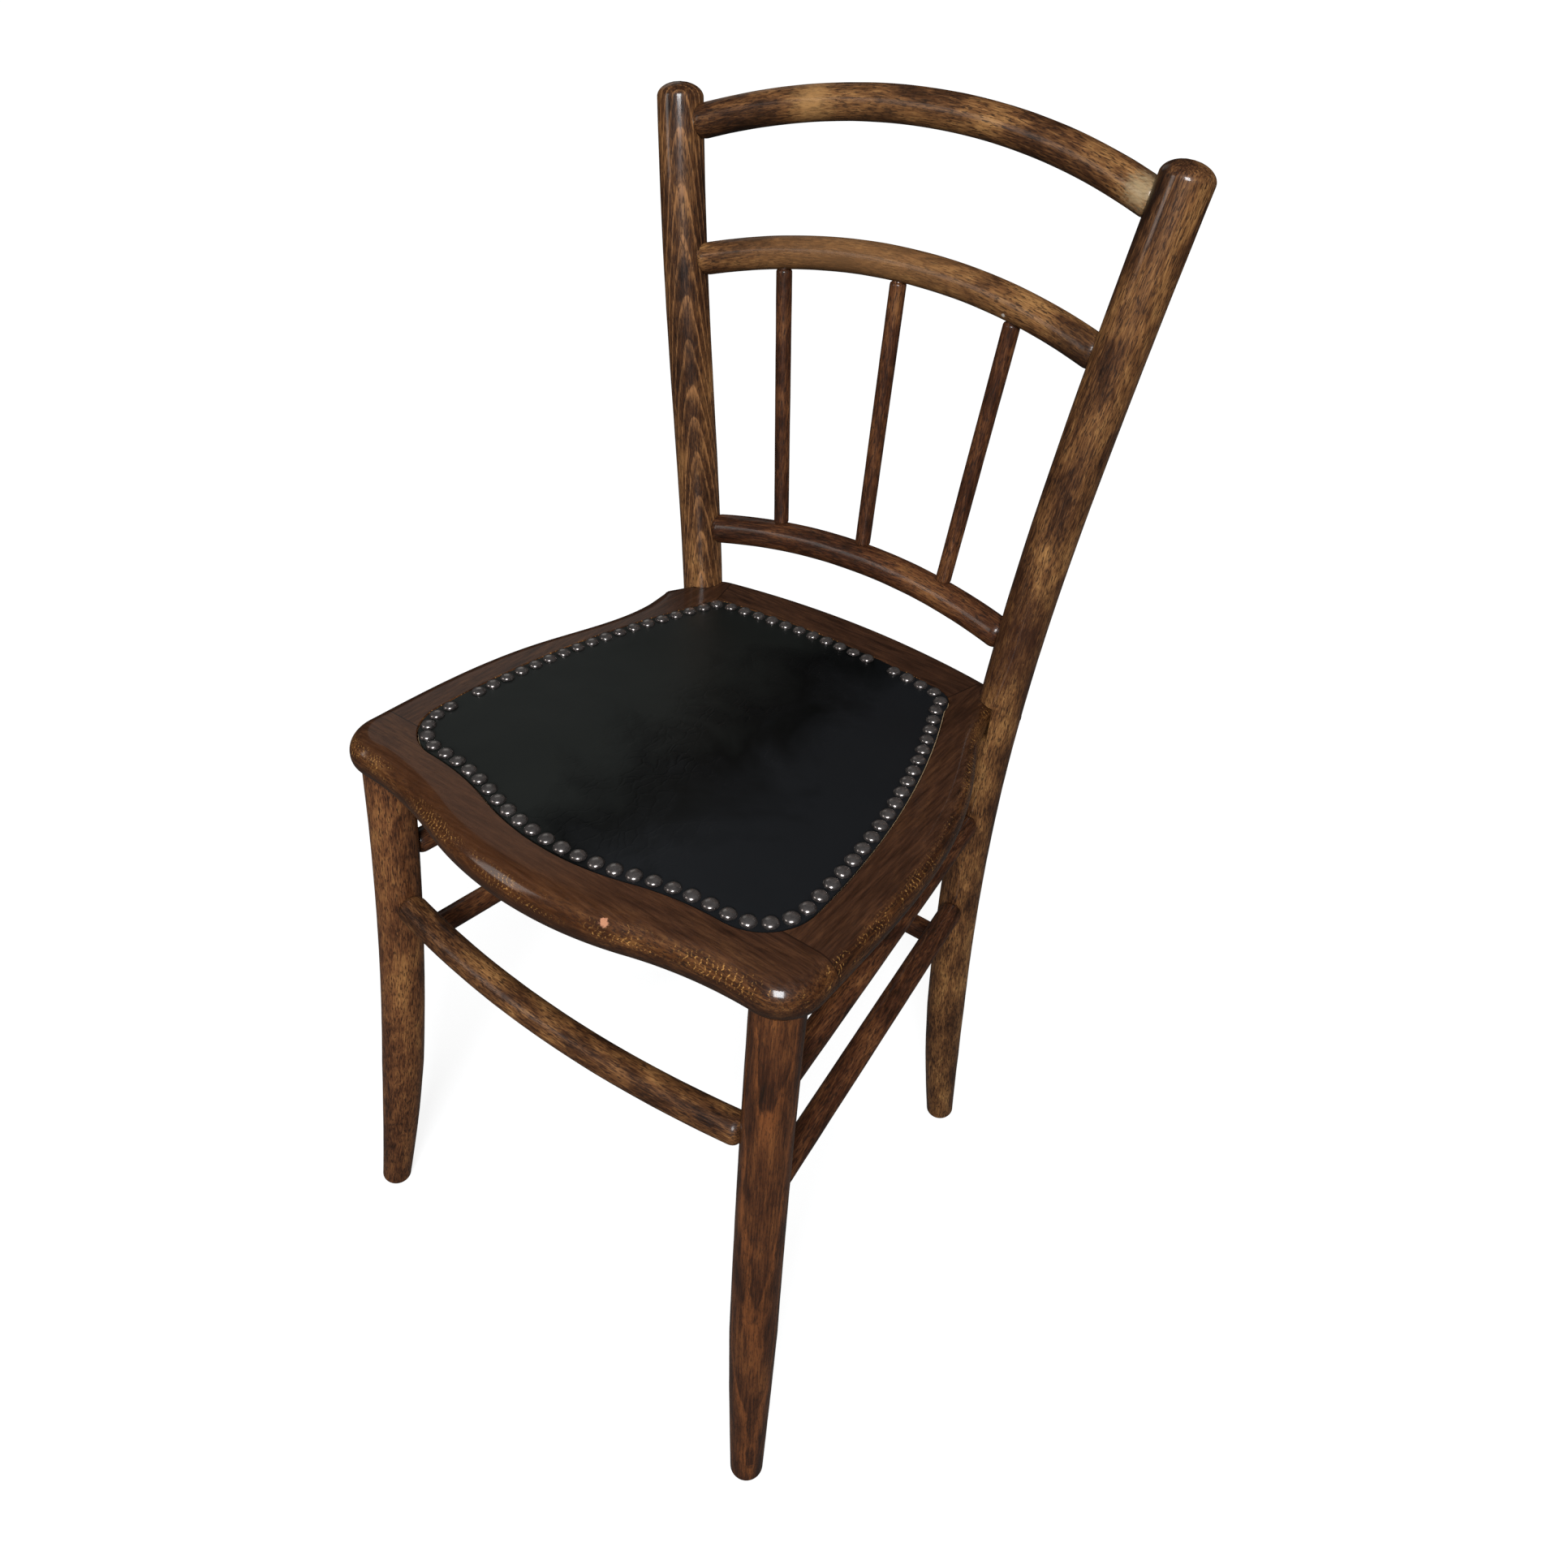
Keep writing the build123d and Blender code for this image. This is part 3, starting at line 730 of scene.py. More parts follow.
@dataclass(frozen=True)
class WoodMarks:
    """Marks of wear, glue and light on single pieces of the chair."""

    pale_end: Spot = Spot((0.1515, 0.1655, 0.7976), 0.016, (0.33, 0.24, 0.13), 0.75, 0.7, 0.0,
                          Noise((260.0, 900.0, 900.0), 3.0, 0.6))
    gold_band: Spot = Spot((-0.0742, 0.1808, 0.8144), 0.020, (0.34, 0.18, 0.065), 0.7, 0.8, 0.0,
                           Noise((160.0, 900.0, 900.0), 3.0, 0.6))
    glue_ring: Spot = Spot((-0.1570, 0.1660, 0.7940), 0.0030, (0.42, 0.30, 0.20), 0.6, 0.6, 0.3)
    joint_glue: Spot = Spot((0.0828, 0.1691, 0.7184), 0.0018, (0.55, 0.50, 0.44), 0.8, 0.6, 0.4)
    lit_rail: Spot = Spot((-0.030, 0.178, 0.722), 0.130, (0.200, 0.098, 0.038), 0.45, 0.3, 0.1)
    dark_end: Spot = Spot((0.138, 0.162, 0.697), 0.045, (0.020, 0.0095, 0.0055), 0.75, 0.5, 0.1)
    dark_post: Spot = Spot((0.137, 0.150, 0.520), 0.070, (0.034, 0.0120, 0.0060), 0.55, 0.6, 0.1)
    chip: Spot = Spot((0.067, -0.1804, 0.4666), 0.0034, (0.38, 0.17, 0.095), 1.0, 0.8, 0.6)
    crumb: Spot = Spot((0.1349, 0.1297, 0.4700), 0.0024, (0.50, 0.42, 0.32), 0.8, 0.9)

    def of_rails(self) -> tuple[Spot, ...]:
        """Marks of the back rails, from below to above."""
        return self.lit_rail, self.dark_end, self.pale_end, self.gold_band, self.glue_ring, self.joint_glue

    def of_seat(self) -> tuple[Spot, ...]:
        """Marks of the seat frame."""
        return self.chip, self.crumb


@dataclass(frozen=True)
class Palette:
    """The chair's materials, made once."""

    post: Material
    arched: Material
    leg: Material
    warm: Material
    rail: Material
    rung: Material
    seat: Material
    plain: Material
    leather: Material
    felt: Material
    nail: Material
    screw: Material

    @classmethod
    def mixed(cls) -> "Palette":
        """Makes every material.

        Returns:
            The palette.
        """
        marks = WoodMarks()
        finishes = {
            "post": StainedBeech("post_beech", Slot.POST, warmth=0.045, spots=(marks.dark_post,)),
            "arched": StainedBeech(
                "arched_beech", Slot.POST, warmth=0.01, line=(0.36, 0.165, 0.062), line_strength=0.55,
                line_rise=(0.60, 0.94), ring_width=0.0040, cloud_share=0.80, pore_share=0.7),
            "leg": StainedBeech(
                "leg_beech", Slot.POST, brown=(0.036, 0.0120, 0.0050), amber=(0.078, 0.0265, 0.0092),
                gold=(0.16, 0.058, 0.017), line=(0.21, 0.068, 0.019), lean=0.03, line_strength=0.50,
                ring_width=0.0062, warp_depth=0.0120, cloud_share=0.60, pore_share=0.5,
                fibre=Noise((900.0, 900.0, 40.0), 4.0, 0.62),
                mottle=Noise((170.0, 170.0, 30.0), 4.0, 0.65, 0.5)),
            "warm": StainedBeech(
                "warm_beech", Slot.POST, brown=(0.058, 0.0205, 0.0086), amber=(0.135, 0.052, 0.0190),
                gold=(0.29, 0.135, 0.044), warmth=0.05, cloud_share=0.65),
            "rail": StainedBeech("rail_beech", Slot.RAIL, warmth=0.05, coat=0.14, spots=marks.of_rails()),
            "rung": StainedBeech(
                "rung_beech", Slot.RAIL, brown=(0.040, 0.0136, 0.0062), amber=(0.086, 0.0315, 0.0120),
                gold=(0.18, 0.076, 0.025), cloud_share=0.7, coat=0.30),
            "seat": FleckedBeech(
                "seat_beech", Slot.SEAT, brown=(0.031, 0.0108, 0.0043), amber=(0.070, 0.0265, 0.0085),
                gold=(0.16, 0.071, 0.021), cloud_share=0.6, fibre=Noise((520.0, 520.0, 42.0), 4.0, 0.62),
                gloss=0.08, coat=0.52, spots=marks.of_seat()),
            "plain": BareWood(),
            "leather": BlackLeather(),
            "felt": Felt(),
            "nail": DullMetal("nail_nickel", Slot.NAIL, (0.34, 0.305, 0.290), (0.070, 0.057, 0.054)),
            "screw": DullMetal("screw_steel", Slot.SCREW, (0.42, 0.41, 0.39), (0.2, 0.18, 0.16)),
        }
        return cls(**{name: finish.material() for name, finish in finishes.items()})


def new_object(name: str, mesh: Mesh) -> Object:
    """Puts a mesh into the scene.

    Args:
        name: name of the object.
        mesh: its mesh.
    Returns:
        The object.
    """
    thing = bpy.data.objects.new(name, mesh)
    bpy.context.scene.collection.objects.link(thing)
    return thing


def mesh_of(name: str, points: Any, faces: Iterable = (), edges: Iterable = ()) -> Mesh:
    """Makes a mesh from plain data.

    Args:
        name: name of the mesh.
        points: vertices.
        faces: vertex numbers of each face.
        edges: vertex numbers of each loose edge.
    Returns:
        The mesh.
    """
    mesh = bpy.data.meshes.new(name)
    mesh.from_pydata([tuple(map(float, point)) for point in points], list(edges), list(faces))
    mesh.update()
    return mesh


def frozen(thing: Object) -> Mesh:
    """Plain mesh of an object with its modifiers applied; the object is removed.

    Args:
        thing: object to evaluate.
    Returns:
        The evaluated mesh.
    """
    graph = bpy.context.evaluated_depsgraph_get()
    whole = thing.evaluated_get(graph)
    mesh = bpy.data.meshes.new_from_object(whole, preserve_all_data_layers=True, depsgraph=graph)
    bpy.data.objects.remove(thing)
    return mesh


def run_tree(thing: Object, tree: NodeTree, values: dict[str, Any]) -> Mesh:
    """Runs a geometry tree on an object.

    Args:
        thing: object to run on; it is removed afterwards.
        tree: geometry tree with named inputs.
        values: value of each named input.
    Returns:
        The plain mesh that comes out.
    """
    modifier = thing.modifiers.new("shape", "NODES")
    modifier.node_group = tree
    for item in tree.interface.items_tree:
        if item.in_out == "INPUT" and item.name in values:
            modifier[item.identifier] = values[item.name]
    return frozen(thing)


def set_grain(mesh: Mesh, values: np.ndarray) -> None:
    """Stores coordinates across, across and along the grain for each vertex of a mesh."""
    attribute = mesh.attributes.get(GRAIN) or mesh.attributes.new(GRAIN, "FLOAT_VECTOR", "POINT")
    attribute.data.foreach_set("vector", np.ascontiguousarray(values, np.float32).ravel())


def set_values(mesh: Mesh, name: str, values: np.ndarray) -> None:
    """Stores one number for each vertex of a mesh."""
    attribute = mesh.attributes.new(name, "FLOAT", "POINT")
    attribute.data.foreach_set("value", values.astype(np.float32))


def vertices_of(mesh: Mesh) -> np.ndarray:
    """Vertex places of a mesh.

    Args:
        mesh: mesh to read.
    Returns:
        One row for each vertex.
    """
    places = np.zeros(len(mesh.vertices) * 3, np.float32)
    mesh.vertices.foreach_get("co", places)
    return places.reshape(-1, 3).astype(float)


def add_piece(name: str, mesh: Mesh, slot: Slot, *nodes: str) -> Object:
    """Adds a finished piece that stands for CAD nodes.

    Args:
        name: name of the piece.
        mesh: its mesh.
        slot: record slot of its finish; not used.
        nodes: CAD nodes that it stands for.
    Returns:
        The piece.
    """
    piece = new_object(name, mesh)
    mesh.shade_smooth()
    mesh.set_sharp_from_angle(angle=SHARP_ANGLE)
    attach(piece, BODY)
    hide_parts(*nodes)
    LOG.info("%s: %d faces for %s", name, len(mesh.polygons), ", ".join(nodes))
    return piece


def sliced(node: str, axis: Axis, value: float) -> np.ndarray:
    """Points where the edges of a CAD node cross a level.

    Args:
        node: CAD node.
        axis: axis across the level.
        value: place of the level on that axis.
    Returns:
        The crossing points.
    """
    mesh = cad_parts[node].data
    places = vertices_of(mesh)
    ends = np.zeros(len(mesh.edges) * 2, np.int32)
    mesh.edges.foreach_get("vertices", ends)
    first, last = places[ends[0::2]], places[ends[1::2]]
    before, after = first[:, axis] - value, last[:, axis] - value
    crossing = before * after < 0
    share = before[crossing] / (before[crossing] - after[crossing])
    return first[crossing] + (last[crossing] - first[crossing]) * share[:, None]


@dataclass
class Bar:
    """Round bar on a centre line that is read from its CAD node."""

    name: str
    axis: Axis
    slot: Slot
    degree: int
    pith: tuple[float, float] | None = None
    step: float = 0.003
    end_step: float = 0.0006
    end_zone: float = 0.022
    slices: int = 60
    slack: float = 0.0005
    rounds: int = 6
    sides: int = 56
    wobble: float = 0.00018
    wobble_cells: float = 34.0

    def stations(self) -> np.ndarray:
        """Places along the bar's axis, closer together at the ends.

        Returns:
            The places.
        """
        low, high = (corner[self.axis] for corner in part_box(self.name))
        start = np.arange(low, low + self.end_zone, self.end_step)
        middle = np.arange(low + self.end_zone, high - self.end_zone, self.step)
        end = np.arange(high - self.end_zone, high, self.end_step)
        return np.concatenate((start, middle, end, [high]))

    def line(self) -> np.ndarray:
        """Centre line as a smooth fit through the middles of many slices.

        Returns:
            One point for each station.
        """
        low, high = (corner[self.axis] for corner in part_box(self.name))
        margin = (high - low) / self.slices
        levels = np.linspace(low + margin, high - margin, self.slices)
        cuts = [sliced(self.name, self.axis, level) for level in levels]
        middles = np.array([(cut.min(0) + cut.max(0)) / 2 for cut in cuts])
        stations = self.stations()
        points = np.zeros((len(stations), 3))
        points[:, self.axis] = stations
        for other in (axis for axis in Axis if axis != self.axis):
            keep = np.ones(len(levels), bool)
            for _ in range(self.rounds):
                fit = Polynomial.fit(levels[keep], middles[keep, other], self.degree)
                error = np.abs(fit(levels) - middles[:, other])
                keep = error < max(self.slack, np.median(error))
            points[:, other] = fit(stations)
        return points

    def radii(self, along: np.ndarray, stations: np.ndarray) -> np.ndarray:
        """Radius of the bar at each station.

        Args:
            along: length along the centre line.
            stations: places on the bar's axis.
        Returns:
            The radii.
        """
        raise NotImplementedError

    def carve(self, thing: Object) -> Mesh:
        """Cuts joints into the finished tube; a plain bar has none.

        Args:
            thing: the tube.
        Returns:
            Its mesh.
        """
        mesh = thing.data
        bpy.data.objects.remove(thing)
        return mesh

    def build(self, tree: NodeTree, material: Material, seed: int) -> Object:
        """Builds the bar and puts it in place of its CAD node.

        Args:
            tree: geometry tree that makes a tube.
            material: finish.
            seed: number that sets this bar's own unevenness.
        Returns:
            The finished piece.
        """
        points = self.line()
        steps = np.linalg.norm(np.diff(points, axis=0), axis=1)
        along = np.concatenate(([0.0], np.cumsum(steps)))
        radii = self.radii(along, points[:, self.axis])
        wire = mesh_of(self.name + "_line", points, edges=[(i, i + 1) for i in range(len(points) - 1)])
        set_values(wire, RADIUS, radii)
        values = {"Sides": self.sides, "Wobble": self.wobble, "Wobble Cells": self.wobble_cells,
                  "Seed": float(seed), "Material": material}
        tube = run_tree(new_object(self.name + "_line", wire), tree, values)
        mesh = self.carve(new_object(self.name + "_tube", tube))
        places = vertices_of(mesh)
        places[:, Axis.Z] = np.maximum(places[:, Axis.Z], 0.0)
        mesh.vertices.foreach_set("co", places.astype(np.float32).ravel())
        set_grain(mesh, self.grain(places, points, along, seed))
        return add_piece("look_" + self.name, mesh, self.slot, self.name)

    def grain(self, places: np.ndarray, points: np.ndarray, along: np.ndarray, seed: int) -> np.ndarray:
        """Coordinates across and along the bar for its vertices.

        Args:
            places: vertices.
            points: centre line.
            along: length along the centre line.
            seed: number that moves this bar to its own part of the pattern.
        Returns:
            One row for each vertex.
        """
        nearest = np.array([np.argmin(np.abs(points[:, self.axis] - place[self.axis])) for place in places])
        offset = places - points[nearest]
        across, other = (axis for axis in Axis if axis != self.axis)
        toward = self.pith or (cos(seed), sin(seed))
        first = offset[:, across] * toward[0] + offset[:, other] * toward[1]
        second = offset[:, other] * toward[0] - offset[:, across] * toward[1]
        return np.stack((first, second, along[nearest] + seed), axis=1)


@dataclass
class Rod(Bar):
    """Rail, spindle or stretcher with a rounded shoulder and a tenon at each end."""

    diameter: float = 0.021
    tenon_diameter: float = 0.015
    tenon: float = 0.010
    shoulder: float = 0.006

    def radii(self, along: np.ndarray, stations: np.ndarray) -> np.ndarray:
        """Full radius between the shoulders, tenon radius outside.

        Args:
            along: length along the centre line.
            stations: places on the bar's axis; not used.
        Returns:
            The radii.
        """
        full, slim = self.diameter / 2, self.tenon_diameter / 2
        from_end = np.minimum(along, along[-1] - along)
        share = np.clip((self.tenon + self.shoulder - from_end) / self.shoulder, 0.0, 1.0)
        return slim + (full - slim) * np.sqrt(1.0 - share ** 2)


@dataclass
class TurnedLeg(Bar):
    """Upright bar that tapers to its chamfered foot and has a tenon at the top."""

    profile: tuple[Point, ...] = ()
    chamfer: float = 0.0025
    chamfer_height: float = 0.004
    chamfer_power: float = 1.6
    tenon_diameter: float = 0.018
    tenon: float = 0.020

    def turned(self, stations: np.ndarray) -> np.ndarray:
        """Radius by height: profile with a chamfered foot.

        Args:
            stations: heights.
        Returns:
            The radii.
        """
        heights, diameters = zip(*self.profile)
        cut = np.clip(1.0 - stations / self.chamfer_height, 0.0, 1.0) ** self.chamfer_power
        return np.interp(stations, heights, diameters) / 2 - self.chamfer * cut

    def radii(self, along: np.ndarray, stations: np.ndarray) -> np.ndarray:
        """Turned radius, with the tenon above.

        Args:
            along: length along the centre line; not used.
            stations: heights.
        Returns:
            The radii.
        """
        radii = self.turned(stations)
        radii[stations > stations[-1] - self.tenon] = self.tenon_diameter / 2
        return radii


@dataclass(frozen=True)
class CornerJoint:
    """Notch of a rear post that a corner of the seat frame is let into, with the hole of its sunk screw."""

    post: Point = (0.136, 0.154)
    post_diameter: float = 0.0315
    turn: float = radians(35.0)
    depth: float = 0.007
    overlap: float = 0.00015
    clearance: float = 0.00015
    width: float = 0.06
    screw_height: float = 0.459
    screw_hole: float = 0.0103
    screw_hole_depth: float = 0.004
    screw_hole_sides: int = 40

    def inward(self, side: Side) -> Vector:
        """Direction from a post to the middle of the seat, square to the notch."""
        return Vector((-side * cos(self.turn), -sin(self.turn), 0.0))

    def axis(self, side: Side) -> Vector:
        """Middle of a post, seen from above."""
        return Vector((side * self.post[0], self.post[1], 0.0))

    def face(self) -> float:
        """Distance of the notch's flat face from the middle of the post."""
        return self.post_diameter / 2 - self.depth

    def levels(self) -> Span:
        """Floor and ceiling of the notch, just clear of the seat frame."""
        low, high = (corner.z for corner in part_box(SEAT_NODE))
        return low - self.clearance, high + self.clearance

    def cutter(self, side: Side) -> Object:
        """Block and cylinder that cut the notch and the mouth of the screw hole.

        Args:
            side: side of the post.
        Returns:
            The cutter.
        """
        inward, axis = self.inward(side), self.axis(side)
        low, high = self.levels()
        sideways = UP.cross(inward)
        turn = Matrix((inward, sideways, UP)).transposed().to_4x4()
        middle = axis + inward * (self.face() + self.width / 2) + UP * (low + high) / 2
        scale = Matrix.Diagonal((self.width, self.width, high - low, 1.0))
        lay = Matrix((UP, sideways, inward)).transposed().to_4x4()
        mouth = axis - inward * (self.post_diameter / 2) + UP * self.screw_height
        radius = self.screw_hole / 2
        shape = bmesh.new()
        bmesh.ops.create_cube(shape, size=1.0, matrix=Matrix.Translation(middle) @ turn @ scale)
        bmesh.ops.create_cone(shape, cap_ends=True, segments=self.screw_hole_sides, radius1=radius,
                              radius2=radius, depth=2 * self.screw_hole_depth,
                              matrix=Matrix.Translation(mouth) @ lay)
        bmesh.ops.recalc_face_normals(shape, faces=shape.faces)
        mesh = bpy.data.meshes.new("cutter")
        shape.to_mesh(mesh)
        shape.free()
        return new_object("cutter", mesh)


@dataclass
class RearPost(TurnedLeg):
    """Rear post from the foot to the domed top, with the seat's notch and the sunk screw's hole."""

    side: Side = Side.RIGHT
    dome: float = 0.009
    tip_radius: float = 0.0002
    joint: CornerJoint = CornerJoint()

    def radii(self, along: np.ndarray, stations: np.ndarray) -> np.ndarray:
        """Turned radius, with the domed top.

        Args:
            along: length along the centre line; not used.
            stations: heights.
        Returns:
            The radii.
        """
        share = np.clip((stations - stations[-1] + self.dome) / self.dome, 0.0, 1.0)
        return np.maximum(self.turned(stations) * np.sqrt(1.0 - share ** 2), self.tip_radius)

    def carve(self, thing: Object) -> Mesh:
        """Cuts the notch and the mouth of the screw hole.

        Args:
            thing: the tube.
        Returns:
            The cut mesh.
        """
        cutter = self.joint.cutter(self.side)
        modifier = thing.modifiers.new("notch", "BOOLEAN")
        modifier.object = cutter
        modifier.operation = "DIFFERENCE"
        modifier.solver = "EXACT"
        cut = frozen(thing)
        bpy.data.objects.remove(cutter)
        return cut


def geometry_tree(name: str, inputs: dict[str, str]) -> tuple[Tree, Any]:
    """Starts a geometry tree with named inputs.

    Args:
        name: name of the tree.
        inputs: kind of each input beside the geometry, by its name.
    Returns:
        The tree and the outputs of its input node.
    """
    group = bpy.data.node_groups.new(name, "GeometryNodeTree")
    for label, kind in {"Geometry": "Geometry", **inputs}.items():
        group.interface.new_socket(label, in_out="INPUT", socket_type="NodeSocket" + kind)
    group.interface.new_socket("Geometry", in_out="OUTPUT", socket_type="NodeSocketGeometry")
    tree = Tree(group)
    return tree, tree.add("NodeGroupInput").outputs


def close_tree(tree: Tree, shape: Node, material: Socket) -> NodeTree:
    """Ends a geometry tree: makes instances real and sets the material.

    Args:
        tree: tree to end.
        shape: node that gives the shape.
        material: material input.
    Returns:
        The finished tree.
    """
    whole = tree.add("GeometryNodeRealizeInstances", {"Geometry": shape})
    dressed = tree.add("GeometryNodeSetMaterial", {"Geometry": whole, "Material": material})
    tree.add("NodeGroupOutput", {0: dressed})
    return tree.tree


def tube_tree() -> NodeTree:
    """Geometry tree that turns a line with radii into a slightly uneven tube.

    Returns:
        The tree.
    """
    kinds = {"Sides": "Int", "Wobble": "Float", "Wobble Cells": "Float", "Seed": "Float",
             "Material": "Material"}
    tree, given = geometry_tree("bar_tube", kinds)
    line = tree.add("GeometryNodeMeshToCurve", {0: given["Geometry"]})
    ring = tree.add("GeometryNodeCurvePrimitiveCircle", {"Resolution": given["Sides"], "Radius": 1.0})
    radius = tree.add("GeometryNodeInputNamedAttribute", {"Name": RADIUS}, data_type="FLOAT")
    inputs = {"Curve": line, "Profile Curve": ring, "Scale": radius, "Fill Caps": True}
    tube = tree.add("GeometryNodeCurveToMesh", inputs)
    inputs = {"W": given["Seed"], "Scale": given["Wobble Cells"], "Detail": 2.0}
    noise = tree.add("ShaderNodeTexNoise", inputs, noise_dimensions="4D").outputs[0]
    push = tree.times(tree.math("SUBTRACT", noise, 0.5), given["Wobble"], 2.0)
    normal = tree.add("GeometryNodeInputNormal").outputs[0]
    offset = tree.add("ShaderNodeVectorMath", {0: normal}, operation="SCALE")
    tree.feed(offset.inputs["Scale"], push)
    moved = tree.add("GeometryNodeSetPosition", {"Geometry": tube, "Offset": offset.outputs[0]})
    return close_tree(tree, moved, given["Material"])


@dataclass
class Framework:
    """All the round bars of the chair: posts, legs, back rails, spindles and stretchers."""

    post_profile: tuple[Point, ...] = (
        (0.0, 0.0240), (0.004, 0.0240), (0.038, 0.0265), (0.088, 0.0300), (0.150, 0.0320), (0.235, 0.0320),
        (0.470, 0.0315), (0.643, 0.0312), (0.8145, 0.0308))
    leg_profile: tuple[Point, ...] = (
        (0.0, 0.0235), (0.004, 0.0235), (0.038, 0.0260), (0.088, 0.0295), (0.150, 0.0325), (0.4425, 0.0325))
    post_pith: Point = (0.64, -0.77)
    leg_pith: Point = (-0.55, 0.83)
    post_degree: int = 8
    leg_degree: int = 3
    bent_degree: int = 4
    straight_degree: int = 1
    crest_diameter: float = 0.0210
    upper_rail_diameter: float = 0.0208
    lower_rail_diameter: float = 0.0220
    spindle_diameter: float = 0.0110
    spindle_tenon_diameter: float = 0.0080
    spindle_tenon: float = 0.0070
    spindle_shoulder: float = 0.0020
    spindle_sides: int = 32
    front_stretcher_diameter: float = 0.0216
    stretcher_diameter: float = 0.0180
    stretcher_tenon_diameter: float = 0.0130

    def bars(self) -> list[Bar]:
        """Every bar in a fixed order; the degrees say how much its centre line bends.

        Returns:
            The bars.
        """
        bars: list[Bar] = []
        for side in Side:
            bars.append(RearPost("rear_post_" + side.word, Axis.Z, Slot.POST, self.post_degree,
                                 self.post_pith, profile=self.post_profile, side=side))
            bars.append(TurnedLeg("front_leg_" + side.word, Axis.Z, Slot.POST, self.leg_degree, self.leg_pith,
                                  profile=self.leg_profile))
        rails = {"crest_rail": self.crest_diameter, "upper_back_rail": self.upper_rail_diameter,
                 "lower_back_rail": self.lower_rail_diameter}
        for name, diameter in rails.items():
            bars.append(Rod(name, Axis.X, Slot.RAIL, self.bent_degree, diameter=diameter))
        for place in ("left", "centre", "right"):
            bars.append(Rod("back_spindle_" + place, Axis.Z, Slot.RAIL, self.straight_degree,
                            diameter=self.spindle_diameter, tenon_diameter=self.spindle_tenon_diameter,
                            tenon=self.spindle_tenon, shoulder=self.spindle_shoulder,
                            sides=self.spindle_sides))
        stretchers = [("front_stretcher", Axis.X, self.bent_degree, self.front_stretcher_diameter),
                      ("rear_stretcher", Axis.X, self.straight_degree, self.stretcher_diameter)]
        stretchers += [(f"side_stretcher_{level}_{side.word}", Axis.Y, self.straight_degree,
                        self.stretcher_diameter) for level in ("upper", "lower") for side in Side]
        for name, axis, degree, diameter in stretchers:
            bars.append(Rod(name, axis, Slot.RAIL, degree, diameter=diameter,
                            tenon_diameter=self.stretcher_tenon_diameter))
        return bars

    def build(self, palette: Palette) -> None:
        """Builds every bar.

        Args:
            palette: the chair's materials.
        """
        tree = tube_tree()
        for seed, bar in enumerate(self.bars(), start=1):
            bar.build(tree, self.finish(bar.name, palette), seed)

    @staticmethod
    def finish(name: str, palette: Palette) -> Material:
        """Chooses the finish of a bar.

        Args:
            name: name of the bar.
            palette: the chair's materials.
        Returns:
            The material.
        """
        chosen = {"rear_post_right": palette.post, "rear_post_left": palette.arched,
                  "front_leg_right": palette.leg, "front_leg_left": palette.warm, "crest_rail": palette.rail,
                  "upper_back_rail": palette.rail, "front_stretcher": palette.rail}
        return chosen.get(name, palette.rung)


def smooth_line(points: Sequence[tuple[float, float]], count: int, first: tuple[float, float],
                last: tuple[float, float]) -> np.ndarray:
    """Cubic spline through points, with given directions at both ends.

    Args:
        points: points to pass.
        count: number of points to return.
        first: direction at the start.
        last: direction at the end.
    Returns:
        Points along the spline.
    """
    given = np.array(points)
    knots = np.concatenate(([0.0], np.cumsum(np.linalg.norm(np.diff(given, axis=0), axis=1))))
    inner = knots[1:-1]

    def values(places: np.ndarray) -> np.ndarray:
        """Values of the spline's terms, one row for each place."""
        powers = [places ** power for power in range(4)]
        return np.stack(powers + [np.clip(places - knot, 0.0, None) ** 3 for knot in inner], axis=1)

    def slopes(place: float) -> list[float]:
        """Slopes of the spline's terms at one place."""
        powers = [0.0, 1.0, 2 * place, 3 * place ** 2]
        return powers + [3 * max(place - knot, 0.0) ** 2 for knot in inner]

    system = np.vstack((values(knots), slopes(knots[0]), slopes(knots[-1])))
    factors = np.linalg.solve(system, np.vstack((given, first, last)))
    return values(np.linspace(0.0, knots[-1], count)) @ factors


def arc_points(first: Sequence[float], middle: Sequence[float], last: Sequence[float],
               count: int) -> np.ndarray:
    """Points on the circle through three points.

    Args:
        first: start.
        middle: point in between.
        last: end.
        count: number of points.
    Returns:
        Points from first to last.
    """
    a, b, c = (np.array(point, float) for point in (first, middle, last))
    system = 2 * np.stack((b - a, c - a))
    centre = np.linalg.solve(system, np.array([b @ b - a @ a, c @ c - a @ a]))
    angles = np.unwrap([np.arctan2(*(point - centre)[::-1]) for point in (a, b, c)])
    turns = np.linspace(angles[0], angles[2], count)
    return centre + np.linalg.norm(a - centre) * np.stack((np.cos(turns), np.sin(turns)), axis=1)


def bow_half(flank: tuple[float, float], middle: float, count: int) -> np.ndarray:
    """Right half of a bowed front edge: two arcs that meet half way, level at both ends.

    Args:
        flank: outer end.
        middle: front place in the middle plane.
        count: number of points.
    Returns:
        Points from the middle to the flank.
    """
    half, drop = flank[0] / 2, (flank[1] - middle) / 2
    radius = (half ** 2 + drop ** 2) / (2 * drop)
    across = np.linspace(0.0, flank[0], count)
    near = middle + radius - np.sqrt(radius ** 2 - np.minimum(across, half) ** 2)
    far = flank[1] - radius + np.sqrt(radius ** 2 - np.minimum(flank[0] - across, half) ** 2)
    return np.stack((across, np.where(across < half, near, far)), axis=1)


def quarter_turn(centre: Point, size: Point, count: int) -> np.ndarray:
    """Rounded front right corner about its centre, from the front to the side."""
    turns = np.linspace(-pi / 2, 0.0, count)
    return np.array(centre) + np.array(size) * np.stack((np.cos(turns), np.sin(turns)), axis=1)


